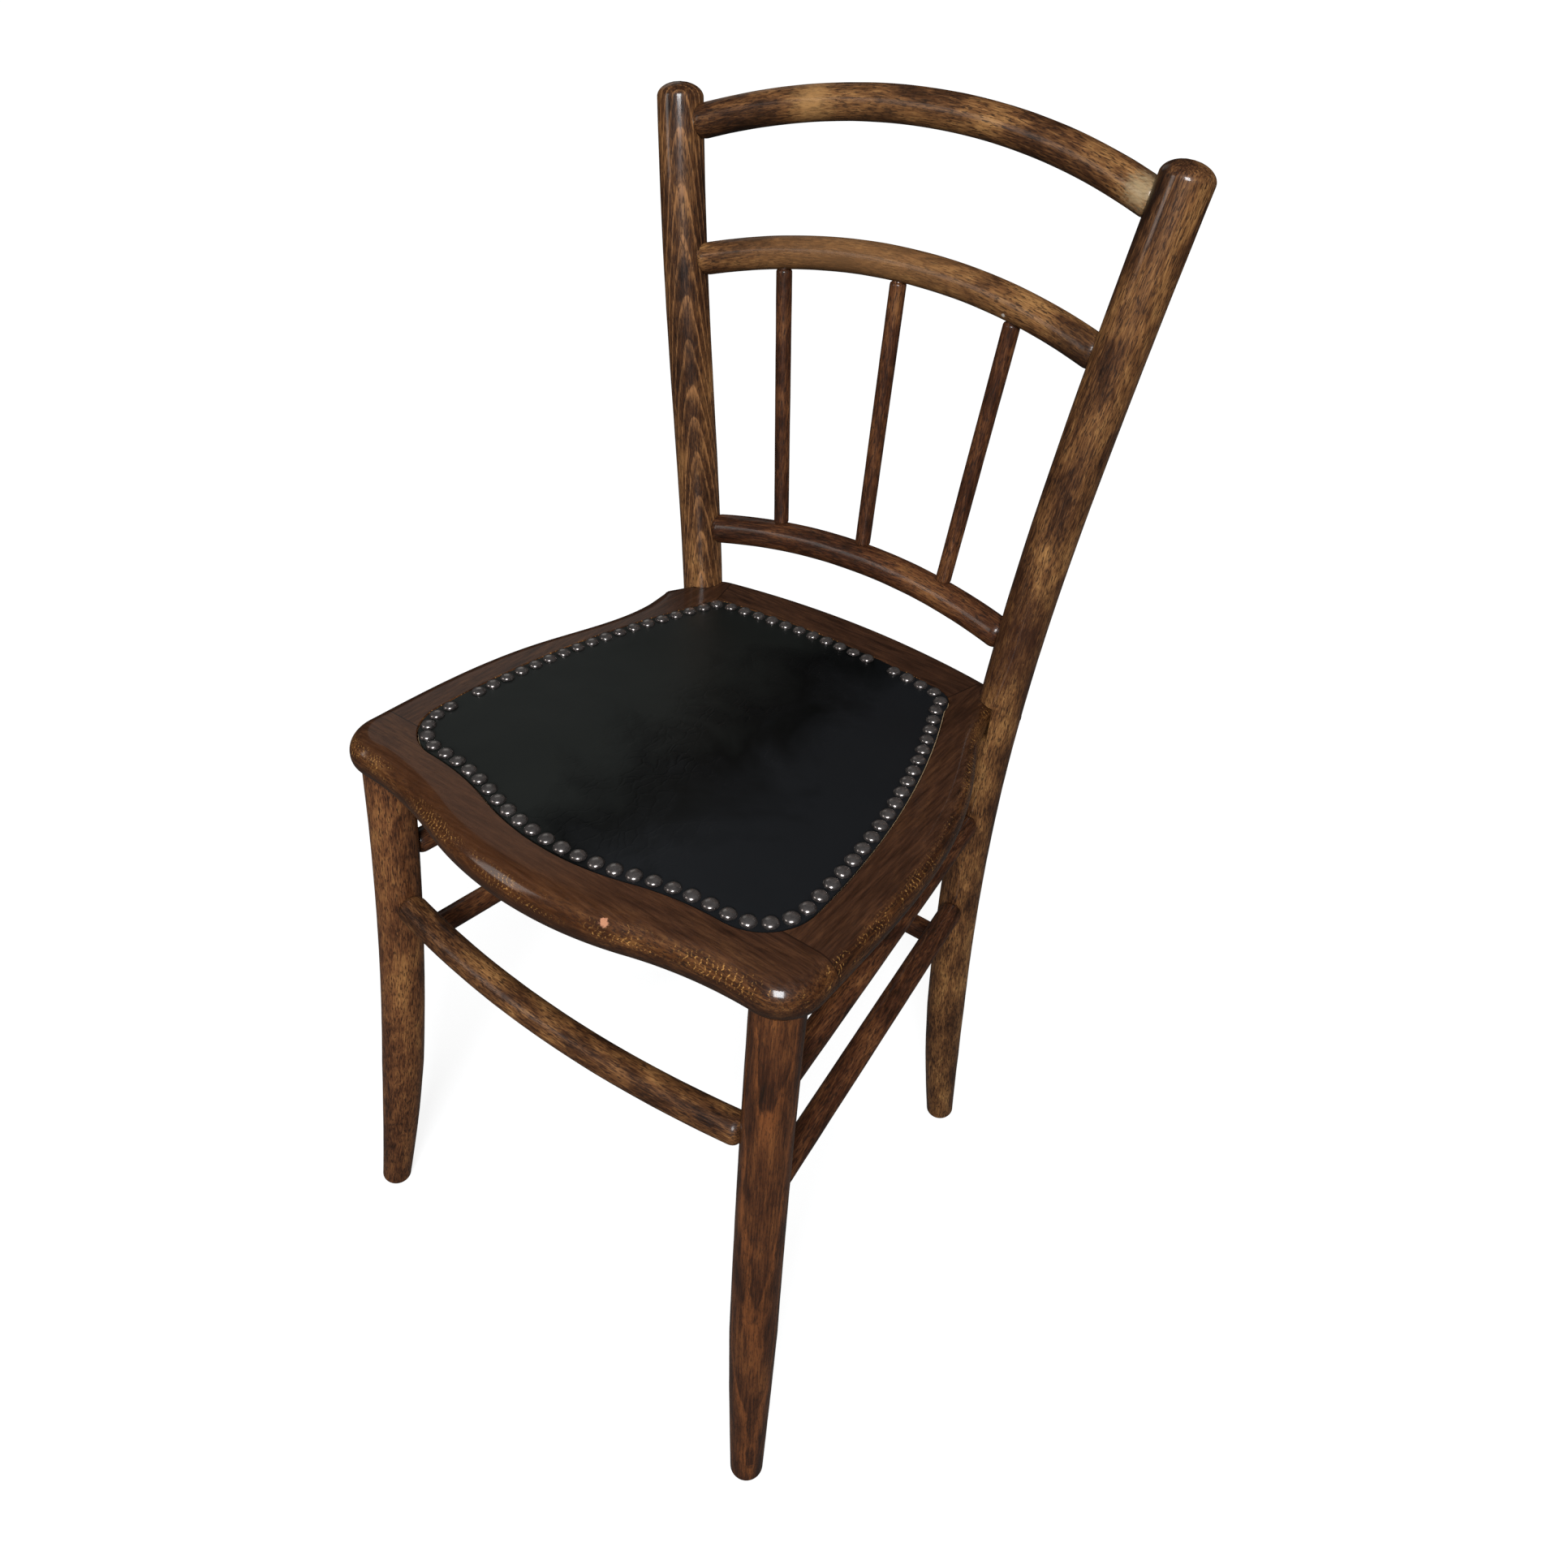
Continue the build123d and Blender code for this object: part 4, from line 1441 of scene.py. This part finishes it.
def back_half(end: Point, bow: float, count: int) -> np.ndarray:
    """Right half of a bowed back edge, from its right end to the middle."""
    x, y = end
    return arc_points(end, (0.0, y + bow), (-x, y), 2 * count + 1)[:count + 1]


def both_halves(right: np.ndarray, left: np.ndarray) -> np.ndarray:
    """Closed outline from its halves, each from front to back, the left one as if it lay on the right."""
    return np.concatenate((right, left[::-1][1:-1] * (-1.0, 1.0)))


def evenly(outline: np.ndarray, spacing: float) -> np.ndarray:
    """Closed outline with points at even distances.

    Args:
        outline: points of the outline.
        spacing: distance wanted.
    Returns:
        The even points.
    """
    closed = np.concatenate((outline, outline[:1]))
    along = np.concatenate(([0.0], np.cumsum(np.linalg.norm(np.diff(closed, axis=0), axis=1))))
    places = np.linspace(0.0, along[-1], int(along[-1] / spacing), endpoint=False)
    return np.stack([np.interp(places, along, closed[:, axis]) for axis in (0, 1)], axis=1)


@dataclass
class SeatPlan:
    """Outlines of the seat frame and of its opening, seen from above."""

    front: float = -0.193
    flank: Point = (0.160, -0.168)
    side: Point = (0.187, -0.140)
    right_hip: Point = (0.1805, 0.0)
    right_slope: Point = (0.1595, 0.073)
    right_end: Point = (0.1345, 0.150)
    left_hip: Point = (0.1735, 0.0)
    left_waist: Point = (0.150, 0.101)
    left_ear: Point = (0.152, 0.126)
    back: Point = (0.128, 0.1705)
    back_bow: float = 0.0145
    opening_front: float = -0.160
    opening_flank: Point = (0.118, -0.1415)
    opening_corner_radius: float = 0.0375
    opening_rear: Point = (0.111, 0.117)
    opening_bend: Point = (0.106, 0.1305)
    opening_corner: Point = (0.094, 0.1365)
    opening_back_bow: float = 0.0075
    spacing: float = 0.0022
    steps: int = 60

    def outer(self) -> np.ndarray:
        """Outer outline, with the rear corners still whole.

        Returns:
            Closed outline at even distances.
        """
        size = (self.side[0] - self.flank[0], self.side[1] - self.flank[1])
        corner = quarter_turn((self.flank[0], self.side[1]), size, self.steps)
        front = np.concatenate((bow_half(self.flank, self.front, self.steps), corner[1:]))
        back = back_half(self.back, self.back_bow, self.steps)
        straight = (0, 1)
        halves = []
        for bends in ((self.right_hip, self.right_slope, self.right_end),
                      (self.left_hip, self.left_waist, self.left_ear)):
            side = smooth_line((self.side, *bends), 2 * self.steps, straight, straight)
            halves.append(np.concatenate((front, side[1:], back)))
        return evenly(both_halves(*halves), self.spacing)

    def opening(self) -> np.ndarray:
        """Outline of the opening.

        Returns:
            Closed outline at even distances.
        """
        radius = self.opening_corner_radius
        centre = (self.opening_flank[0], self.opening_flank[1] + radius)
        corner = quarter_turn(centre, (radius, radius), self.steps)
        start = (centre[0] + radius, centre[1])
        inward, rise = start[0] - self.opening_rear[0], self.opening_rear[1] - start[1]
        sweep = (inward ** 2 + rise ** 2) / (2 * inward)
        height = np.linspace(start[1], self.opening_rear[1], self.steps)
        side = np.stack((start[0] - sweep + np.sqrt(sweep ** 2 - (height - start[1]) ** 2), height), axis=1)
        bend = arc_points(self.opening_rear, self.opening_bend, self.opening_corner, self.steps // 2)
        back = back_half(self.opening_corner, self.opening_back_bow, self.steps)
        front = bow_half(self.opening_flank, self.opening_front, self.steps)
        half = np.concatenate((front, corner[1:], side[1:], bend[1:], back[1:]))
        return evenly(both_halves(half, half), self.spacing)


def inset_normals(outline: np.ndarray) -> np.ndarray:
    """Directions into a closed outline that runs counter-clockwise.

    Args:
        outline: closed outline.
    Returns:
        One unit direction for each point.
    """
    tangent = np.roll(outline, -1, axis=0) - np.roll(outline, 1, axis=0)
    tangent /= np.linalg.norm(tangent, axis=1)[:, None]
    return np.stack((-tangent[:, 1], tangent[:, 0]), axis=1)


@dataclass
class SeatFrame:
    """The four rails of the seat frame, cut from one ring."""

    plan: SeatPlan
    centre: Point = (0.0, -0.012)
    top_round: float = 0.0145
    under_round: float = 0.012
    lip_round: float = 0.0007
    ledge_width: float = 0.014
    rebate: float = 0.008
    round_steps: int = 14
    flat_steps: int = 6
    least_slant: float = 0.5
    front_joint: float = -0.127
    back_joint: Point = (0.104, 0.128)
    back_joint_turn: float = radians(15.0)
    seam: float = 0.00002
    grain_shift: float = 3.0
    corner: CornerJoint = CornerJoint()

    def profile(self, low: float, high: float) -> list[tuple[float, float, float]]:
        """Cross-section of the ring, from the ledge up over the top and back below.

        Args:
            low: height of the underside.
            high: height of the top.
        Returns:
            For each point: share of the way from opening to rim, distance in from that place, height.
            Shares below 0 count the distance inwards from the opening, share 1 inwards from the rim.
        """
        floor = high - self.rebate
        points = [(-1.0, self.ledge_width, low), (-1.0, self.ledge_width, floor), (0.0, 0.0, floor)]
        points += [(0.0, 0.0, high - self.lip_round), (0.0, -self.lip_round, high)]
        points += [(step / self.flat_steps, self.top_round * step / self.flat_steps, high)
                   for step in range(1, self.flat_steps)]
        turns = [pi / 2 * step / self.round_steps for step in range(self.round_steps + 1)]
        reach = self.top_round
        points += [(1.0, reach * (1 - sin(turn)), high - reach * (1 - cos(turn))) for turn in turns]
        reach = self.under_round
        points += [(1.0, reach * (1 - cos(turn)), low + reach * (1 - sin(turn))) for turn in turns]
        points += [(step / self.flat_steps, self.under_round * step / self.flat_steps, low)
                   for step in range(self.flat_steps - 1, -1, -1)]
        return points

    def ring(self) -> bmesh.types.BMesh:
        """Whole ring as a closed grid of faces.

        Returns:
            The ring.
        """
        low, high = (corner.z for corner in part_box(SEAT_NODE))
        rim = self.plan.outer()
        normals = inset_normals(rim)
        opening = self.plan.opening() - self.centre
        angles = np.arctan2(opening[:, 1], opening[:, 0])
        order = np.argsort(angles)
        ray = rim - self.centre
        toward = np.arctan2(ray[:, 1], ray[:, 0])
        reach = np.interp(toward, angles[order], np.hypot(*opening[order].T), period=tau)
        ray /= np.linalg.norm(ray, axis=1)[:, None]
        mouth = np.array(self.centre) + ray * reach[:, None]
        slant = np.clip(-(ray * normals).sum(1), self.least_slant, 1.0)
        rows = []
        for share, inward, height in self.profile(low, high):
            start = mouth + (rim - mouth) * max(share, 0.0)
            scale = 1.0 / slant if share > 0.0 else np.ones(len(rim))
            place = start - ray * (inward * scale)[:, None]
            rows.append(np.column_stack((place, np.full(len(rim), height))))
        ring = bmesh.new()
        grid = [[ring.verts.new(point) for point in row] for row in rows]
        for row, after in zip(grid, grid[1:] + grid[:1]):
            for index in range(len(rim)):
                following = (index + 1) % len(rim)
                ring.faces.new((row[index], row[following], after[following], after[index]))
        bmesh.ops.recalc_face_normals(ring, faces=ring.faces)
        reach = self.corner.face() - self.corner.overlap
        for side in Side:
            inward = self.corner.inward(side)
            self.cut(ring, self.corner.axis(side) + inward * reach, -inward)
        return ring

    @staticmethod
    def cut(piece: bmesh.types.BMesh, place: Vector, outward: Vector) -> None:
        """Takes away what lies beyond a plane and closes the cut.

        Args:
            piece: mesh to cut.
            place: point on the plane.
            outward: direction of what is taken away.
        """
        everything = piece.verts[:] + piece.edges[:] + piece.faces[:]
        bmesh.ops.bisect_plane(piece, geom=everything, dist=CUT_SLACK, plane_co=place, plane_no=outward,
                               clear_outer=True)
        rim = [edge for edge in piece.edges if edge.is_boundary]
        if rim:
            bmesh.ops.edgeloop_fill(piece, edges=rim)

    def planes(self) -> dict[str, list[tuple[Vector, Vector]]]:
        """Planes that cut each rail from the ring.

        Returns:
            For each rail, a point and an outward direction of each plane. The last two planes are its joints.
        """
        forward = Vector((0.0, -1.0, 0.0))
        front = Vector((0.0, self.front_joint, 0.0))
        planes = {"seat_front_rail": [(front + forward * self.seam, -forward)]}
        rear = [(front, forward)]
        for side in Side:
            back = Vector((side * self.back_joint[0], self.back_joint[1], 0.0))
            out = Vector((side * cos(self.back_joint_turn), -sin(self.back_joint_turn), 0.0))
            joints = [(front - forward * self.seam, forward), (back + out * self.seam, -out)]
            planes["seat_side_rail_" + side.word] = joints
            rear.append((back - out * self.seam, out))
        planes["seat_back_rail"] = rear
        return planes

    def build(self, palette: Palette) -> None:
        """Builds the four rails.

        Args:
            palette: the chair's materials.
        """
        ring = self.ring()
        for shift, (name, planes) in enumerate(self.planes().items()):
            piece = ring.copy()
            for place, outward in planes:
                self.cut(piece, place, outward)
            mesh = bpy.data.meshes.new(name)
            piece.to_mesh(mesh)
            piece.free()
            mesh.materials.append(palette.seat)
            places = vertices_of(mesh)
            crosswise = name in ("seat_front_rail", "seat_back_rail")
            axes = (Axis.Y, Axis.Z, Axis.X) if crosswise else (Axis.X, Axis.Z, Axis.Y)
            set_grain(mesh, places[:, axes] + (0.0, 0.0, self.grain_shift * shift))
            apart = [np.abs((places - np.array(place)) @ np.array(out)) for place, out in planes[-2:]]
            set_values(mesh, SEAM, np.min(apart, axis=0))
            add_piece("look_" + name, mesh, Slot.SEAT, name)
        ring.free()


@dataclass
class SeatPanel:
    """Leather over felt in the opening of the seat frame, with its ring of nails."""

    plan: SeatPlan
    gap: float = 0.0007
    edge_drop: float = 0.0030
    crown: float = 0.0024
    crown_power: float = 2.4
    rings: int = 92
    ring_power: float = 0.85
    dimple: float = 0.0007
    dimple_width: float = 0.0048
    swell_depth: float = 0.00022
    swell_grid: tuple[Point, Point] = ((41.0, 1.3), (37.0, 0.4))
    swell_waves: tuple[Place, ...] = ((0.6, 83.0, -29.0), (0.4, 17.0, 97.0))
    ruck_depth: float = 0.00009
    ruck_place: float = 0.012
    ruck_slant: float = 0.25
    ruck_width: float = 0.014
    ruck_waves: Point = (90.0, 260.0)
    calm_edge: float = 1 / 6
    pad_share: float = 0.88
    pad_drop: float = 0.0022
    flat_size: Point = (0.3104, 0.3034)
    flat_area: float = 0.0803
    nail_head: float = 0.0106
    nail_height: float = 0.0032
    nail_rim: tuple[Point, ...] = ((0.97, 0.0), (1.0, 0.0003), (0.985, 0.0006), (0.93, 0.0007))
    nail_dome: float = 0.91
    nail_dome_foot: float = 0.00075
    nail_dome_steps: int = 10
    nail_top_slack: float = 0.00002
    nail_tilt: float = radians(5.0)
    nail_swell: float = 0.035
    nail_sides: int = 32
    shank: float = 0.0009
    shank_length: float = 0.0115
    shank_point: float = 0.002
    seed: int = 7

    def nail_places(self) -> np.ndarray:
        """Feet of the nails, read from the tops of the CAD heads.

        Returns:
            One point for each nail, at the height of the leather's edge.
        """
        places = vertices_of(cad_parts["upholstery_nails"].data)
        heights = places[:, Axis.Z]
        tops = places[heights > heights.max() - self.nail_top_slack]
        found: list[np.ndarray] = []
        for top in tops:
            if all(np.linalg.norm(top[:2] - other[:2]) > self.nail_head / 4 for other in found):
                found.append(top)
        return np.array(found) - (0.0, 0.0, self.nail_height)

    def surface(self, places: np.ndarray, share: np.ndarray, nails: np.ndarray, base: float) -> np.ndarray:
        """Height of the leather.

        Args:
            places: points seen from above.
            share: their shares of the way out to the edge.
            nails: feet of the nails.
            base: height of the edge.
        Returns:
            One height for each point.
        """
        height = base + self.crown * (1.0 - share ** self.crown_power)
        distance = np.full(len(places), 1.0)
        for nail in nails:
            distance = np.minimum(distance, np.hypot(*(places - nail[:2]).T))
        height -= self.dimple * np.exp(-((distance / self.dimple_width) ** 2))
        x, y = places.T
        (across, start), (deep, begin) = self.swell_grid
        swell = np.sin(x * across + start) * np.sin(y * deep + begin)
        for part, across, deep in self.swell_waves:
            swell += part * np.sin(x * across + y * deep)
        across, deep = self.ruck_waves
        band = (x - self.ruck_place + self.ruck_slant * y) / self.ruck_width
        ruck = np.exp(-(band ** 2)) * np.sin(x * across + y * deep)
        calm = np.clip((1.0 - share) / self.calm_edge, 0.0, 1.0)
        return height + (swell * self.swell_depth + ruck * self.ruck_depth) * calm

    def leather(self, palette: Palette, nails: np.ndarray) -> None:
        """Builds the leather and the felt below it.

        Args:
            palette: the chair's materials.
            nails: feet of the nails.
        """
        edge = self.plan.opening()
        edge = edge + inset_normals(edge) * self.gap
        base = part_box(SEAT_NODE)[1].z
        centre = edge.mean(0)
        shares = np.linspace(0.0, 1.0, self.rings + 1)[1:] ** self.ring_power
        rows = [np.array([[*centre, 0.0]])]
        rows[0][0, 2] = self.surface(rows[0][:, :2], np.zeros(1), nails, base)[0]
        for share in shares:
            flat = centre + (edge - centre) * share
            height = self.surface(flat, np.full(len(flat), share), nails, base)
            rows.append(np.column_stack((flat, height)))
        skirt = rows[-1] - (0.0, 0.0, self.edge_drop)
        mesh = self.polar_mesh("seat_leather", rows + [skirt])
        mesh.materials.append(palette.leather)
        piece = add_piece("look_seat_leather", mesh, Slot.LEATHER, "seat_leather")
        lower = np.array((0.0, 0.0, self.pad_drop))
        kept = [row - lower for row, share in zip(rows[1:], shares) if share < self.pad_share]
        foot = kept[-1].copy()
        foot[:, Axis.Z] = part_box("seat_pad")[0].z
        pad = self.polar_mesh("seat_pad", [rows[0] - lower] + kept + [foot])
        pad.materials.append(palette.felt)
        add_piece("look_seat_pad", pad, Slot.FELT, "seat_pad")

    @staticmethod
    def polar_mesh(name: str, rows: list[np.ndarray]) -> Mesh:
        """Disc of rings round one middle point.

        Args:
            name: name of the mesh.
            rows: middle point, then the rings outwards.
        Returns:
            The mesh.
        """
        count = len(rows[1])
        faces = [(0, 1 + index, 1 + (index + 1) % count) for index in range(count)]
        for ring in range(len(rows) - 2):
            inner, outer = 1 + ring * count, 1 + (ring + 1) * count
            for index in range(count):
                following = (index + 1) % count
                faces.append((inner + index, outer + index, outer + following, inner + following))
        return mesh_of(name, np.concatenate(rows), faces)

    def nail_mesh(self) -> Mesh:
        """One nail turned about its axis: domed head with a flat rim, thin shank.

        Returns:
            The mesh.
        """
        radius, foot = self.nail_head / 2, self.nail_dome_foot
        turns = np.linspace(0.0, pi / 2, self.nail_dome_steps)
        tip = self.shank_point - self.shank_length
        profile = [(0.0, -self.shank_length), (self.shank, tip), (self.shank, 0.0)]
        profile += [(radius * share, level) for share, level in self.nail_rim]
        profile += [(radius * self.nail_dome * cos(turn), foot + (self.nail_height - foot) * sin(turn))
                    for turn in turns]
        points = []
        for reach, level in profile:
            for index in range(self.nail_sides):
                turn = tau * index / self.nail_sides
                points.append((reach * cos(turn), reach * sin(turn), level))
        faces = []
        for ring in range(len(profile) - 1):
            for index in range(self.nail_sides):
                following = (index + 1) % self.nail_sides
                start, end = ring * self.nail_sides, (ring + 1) * self.nail_sides
                faces.append((start + index, start + following, end + following, end + index))
        mesh = mesh_of("nail", points, faces)
        tidy = bmesh.new()
        tidy.from_mesh(mesh)
        bmesh.ops.remove_doubles(tidy, verts=tidy.verts, dist=MERGE_DISTANCE)
        tidy.to_mesh(mesh)
        tidy.free()
        mesh.shade_smooth()
        # share of the head's height; the nail material darkens the rim with it, as dirt and painted shade
        set_values(mesh, RIM_DIRT_AND_SHADE, np.clip(vertices_of(mesh)[:, Axis.Z] / self.nail_height, 0.0, 1.0))
        return mesh

    def nail_tree(self) -> NodeTree:
        """Geometry tree that sets a nail on every point, each a little different.

        Returns:
            The tree.
        """
        kinds = {"Nail": "Object", "Tilt": "Float", "Swell": "Float", "Seed": "Int", "Material": "Material"}
        tree, given = geometry_tree("nail_ring", kinds)
        nail = tree.add("GeometryNodeObjectInfo", {"Object": given["Nail"]}).outputs["Geometry"]
        back = tree.math("MULTIPLY", given["Tilt"], -1.0)
        low = tree.add("ShaderNodeCombineXYZ", {0: back, 1: back, 2: 0.0})
        high = tree.add("ShaderNodeCombineXYZ", {0: given["Tilt"], 1: given["Tilt"], 2: tau})
        inputs = {0: low, 1: high, "Seed": given["Seed"]}
        tilt = tree.add("FunctionNodeRandomValue", inputs, data_type="FLOAT_VECTOR")
        turn = tree.add("FunctionNodeEulerToRotation", {0: tilt.outputs[0]})
        inputs = {2: tree.math("SUBTRACT", 1.0, given["Swell"]), 3: 1.0, "Seed": given["Seed"]}
        size = tree.add("FunctionNodeRandomValue", inputs, data_type="FLOAT")
        inputs = {"Points": given["Geometry"], "Instance": nail, "Rotation": turn, "Scale": size.outputs[1]}
        nails = tree.add("GeometryNodeInstanceOnPoints", inputs)
        return close_tree(tree, nails, given["Material"])

    def build(self, palette: Palette) -> None:
        """Builds leather, felt and nails, and dresses the board.

        Args:
            palette: the chair's materials.
        """
        nails = self.nail_places()
        LOG.info("nails found: %d", len(nails))
        self.leather(palette, nails)
        pattern = new_object("nail", self.nail_mesh())
        points = new_object("nail_places", mesh_of("nail_places", nails))
        values = {"Nail": pattern, "Tilt": self.nail_tilt, "Swell": self.nail_swell, "Seed": self.seed,
                  "Material": palette.nail}
        mesh = run_tree(points, self.nail_tree(), values)
        bpy.data.objects.remove(pattern)
        add_piece("look_upholstery_nails", mesh, Slot.NAIL, "upholstery_nails")
        dress(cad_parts["seat_board"], palette.plain)


def dress(node: Object, material: Material) -> None:
    """Gives a CAD node that stays in view its material.

    Args:
        node: CAD node.
        material: material to show.
    """
    node.data.materials.clear()
    node.data.materials.append(material)
    LOG.info("%s: CAD node dressed with %s", node.name, material.name)


@dataclass
class Fixings:
    """Dowels of the seat frame and the two sunk screws of the posts, shown as their CAD nodes."""

    dowels: str = "seat_frame_dowels"
    screws: str = "post_screws"

    def build(self, palette: Palette) -> None:
        """Dresses the dowels and the screws."""
        dress(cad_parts[self.dowels], palette.plain)
        dress(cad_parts[self.screws], palette.screw)


@dataclass(frozen=True)
class Lamp:
    """Soft rectangular light: where it hangs, width and height, watts, colour, whether gloss mirrors it."""

    name: str
    place: Place
    size: Point
    power: float
    tint: Colour
    mirrored: bool = True

    def hang(self, target: Place) -> None:
        """Hangs the light.

        Args:
            target: point that it faces.
        """
        lamp = bpy.data.lights.new(self.name, "AREA")
        lamp.shape = "RECTANGLE"
        lamp.size, lamp.size_y = self.size
        lamp.energy = self.power
        lamp.color = self.tint
        thing = bpy.data.objects.new(self.name, lamp)
        bpy.context.scene.collection.objects.link(thing)
        aim = Vector(target) - Vector(self.place)
        thing.location = self.place
        thing.visible_glossy = self.mirrored
        thing.rotation_euler = aim.to_track_quat("-Z", "Y").to_euler()


@dataclass
class Studio:
    """White floor, soft lights and the camera of the photograph."""

    picture: float = 1932.0
    focal: float = 1410.48
    principal: Point = (949.2, 944.13)
    position: Place = (0.3885, -0.4935, 0.9152)
    azimuth: float = radians(34.68)
    elevation: float = radians(37.31)
    roll: float = radians(3.1)
    sensor: float = 36.0
    nearest: float = 0.01
    floor_size: float = 60.0
    floor_shown: Colour = (0.9, 0.9, 0.9)
    floor_bounce: Colour = (0.07, 0.066, 0.062)
    floor_glow: float = 1.06
    glow_near: float = 0.78
    shadow_zone: Span = (0.30, 1.08)
    world_light: float = 0.26
    world_mirror: float = 0.015
    target: Place = (0.0, 0.0, 0.45)
    lamps: tuple[Lamp, ...] = (
        Lamp("window", (0.88, -1.46, 1.66), (0.66, 0.84), 66.0, (0.94, 0.97, 1.0)),
        Lamp("room", (-1.3, -1.7, 1.28), (0.6, 1.0), 8.0, (1.0, 0.97, 0.93)),
        Lamp("rear", (0.9, 2.1, 1.15), (1.6, 1.3), 26.0, (1.0, 0.98, 0.95), False),
        Lamp("back", (-1.65, 1.15, 1.75), (1.0, 1.0), 1.35, (0.97, 1.0, 0.97)),
    )

    def camera(self) -> None:
        """Sets up the camera."""
        lens = bpy.data.cameras.new("camera")
        lens.sensor_width = self.sensor
        lens.lens = self.focal / self.picture * self.sensor
        lens.shift_x = (self.picture / 2 - self.principal[0]) / self.picture
        lens.shift_y = (self.principal[1] - self.picture / 2) / self.picture
        lens.clip_start = self.nearest
        back = Vector((sin(self.azimuth) * cos(self.elevation), -cos(self.azimuth) * cos(self.elevation),
                       sin(self.elevation)))
        right = Vector((cos(self.azimuth), sin(self.azimuth), 0.0))
        up = back.cross(right)
        across = cos(self.roll) * right + sin(self.roll) * up
        upright = cos(self.roll) * up - sin(self.roll) * right
        turn = Matrix((across, upright, back)).transposed().to_4x4()
        turn.translation = self.position
        camera = bpy.data.objects.new("camera", lens)
        bpy.context.scene.collection.objects.link(camera)
        camera.matrix_world = turn
        bpy.context.scene.camera = camera

    def floor(self) -> None:
        """Lays a white floor that keeps the chair's shadow and fades to plain white further out."""
        half = self.floor_size / 2
        corners = [(-half, -half, 0.0), (half, -half, 0.0), (half, half, 0.0), (-half, half, 0.0)]
        floor = new_object("floor", mesh_of("floor", corners, [(0, 1, 2, 3)]))
        material = bpy.data.materials.new("white_floor")
        material.use_nodes = True
        tree = Tree(material.node_tree)
        tree.tree.nodes.clear()
        distance = tree.vector("LENGTH", tree.place()).outputs["Value"]
        away = tree.step(distance, *self.shadow_zone, self.glow_near, 1.0)
        seen = tree.add("ShaderNodeLightPath").outputs["Is Camera Ray"]
        tint = tree.mix(seen, self.floor_bounce, self.floor_shown)
        matte = tree.add("ShaderNodeBsdfDiffuse", {"Color": tint})
        plain = tree.add("ShaderNodeEmission", {"Color": WHITE, "Strength": self.floor_glow})
        mixed = tree.add("ShaderNodeMixShader", {0: tree.math("MULTIPLY", away, seen), 1: matte, 2: plain})
        tree.add("ShaderNodeOutputMaterial", {"Surface": mixed})
        floor.data.materials.append(material)

    def world(self) -> None:
        """Lights the scene evenly from all round: white for the camera, dim in mirrored views."""
        world = bpy.data.worlds.new("studio")
        world.use_nodes = True
        bpy.context.scene.world = world
        tree = Tree(world.node_tree)
        ground = world.node_tree.nodes["Background"]
        rays = tree.add("ShaderNodeLightPath").outputs
        mirrored = tree.math("MULTIPLY", rays["Is Glossy Ray"], self.world_mirror - self.world_light)
        seen = tree.math("MULTIPLY", rays["Is Camera Ray"], self.floor_glow - self.world_light)
        tree.feed_all(ground, {"Strength": tree.plus(mirrored, seen, self.world_light), "Color": WHITE})

    def build(self) -> None:
        """Sets up the whole studio."""
        bpy.context.scene.view_settings.view_transform = "Standard"
        self.camera()
        self.floor()
        self.world()
        for lamp in self.lamps:
            lamp.hang(self.target)


def main() -> None:
    """Builds the chair's looks and the studio."""
    logging.basicConfig(level=logging.INFO, format="%(name)s %(message)s")
    palette = Palette.mixed()
    plan = SeatPlan()
    Framework().build(palette)
    SeatFrame(plan).build(palette)
    SeatPanel(plan).build(palette)
    Fixings().build(palette)
    Studio().build()


if __name__ == "__main__":
    main()
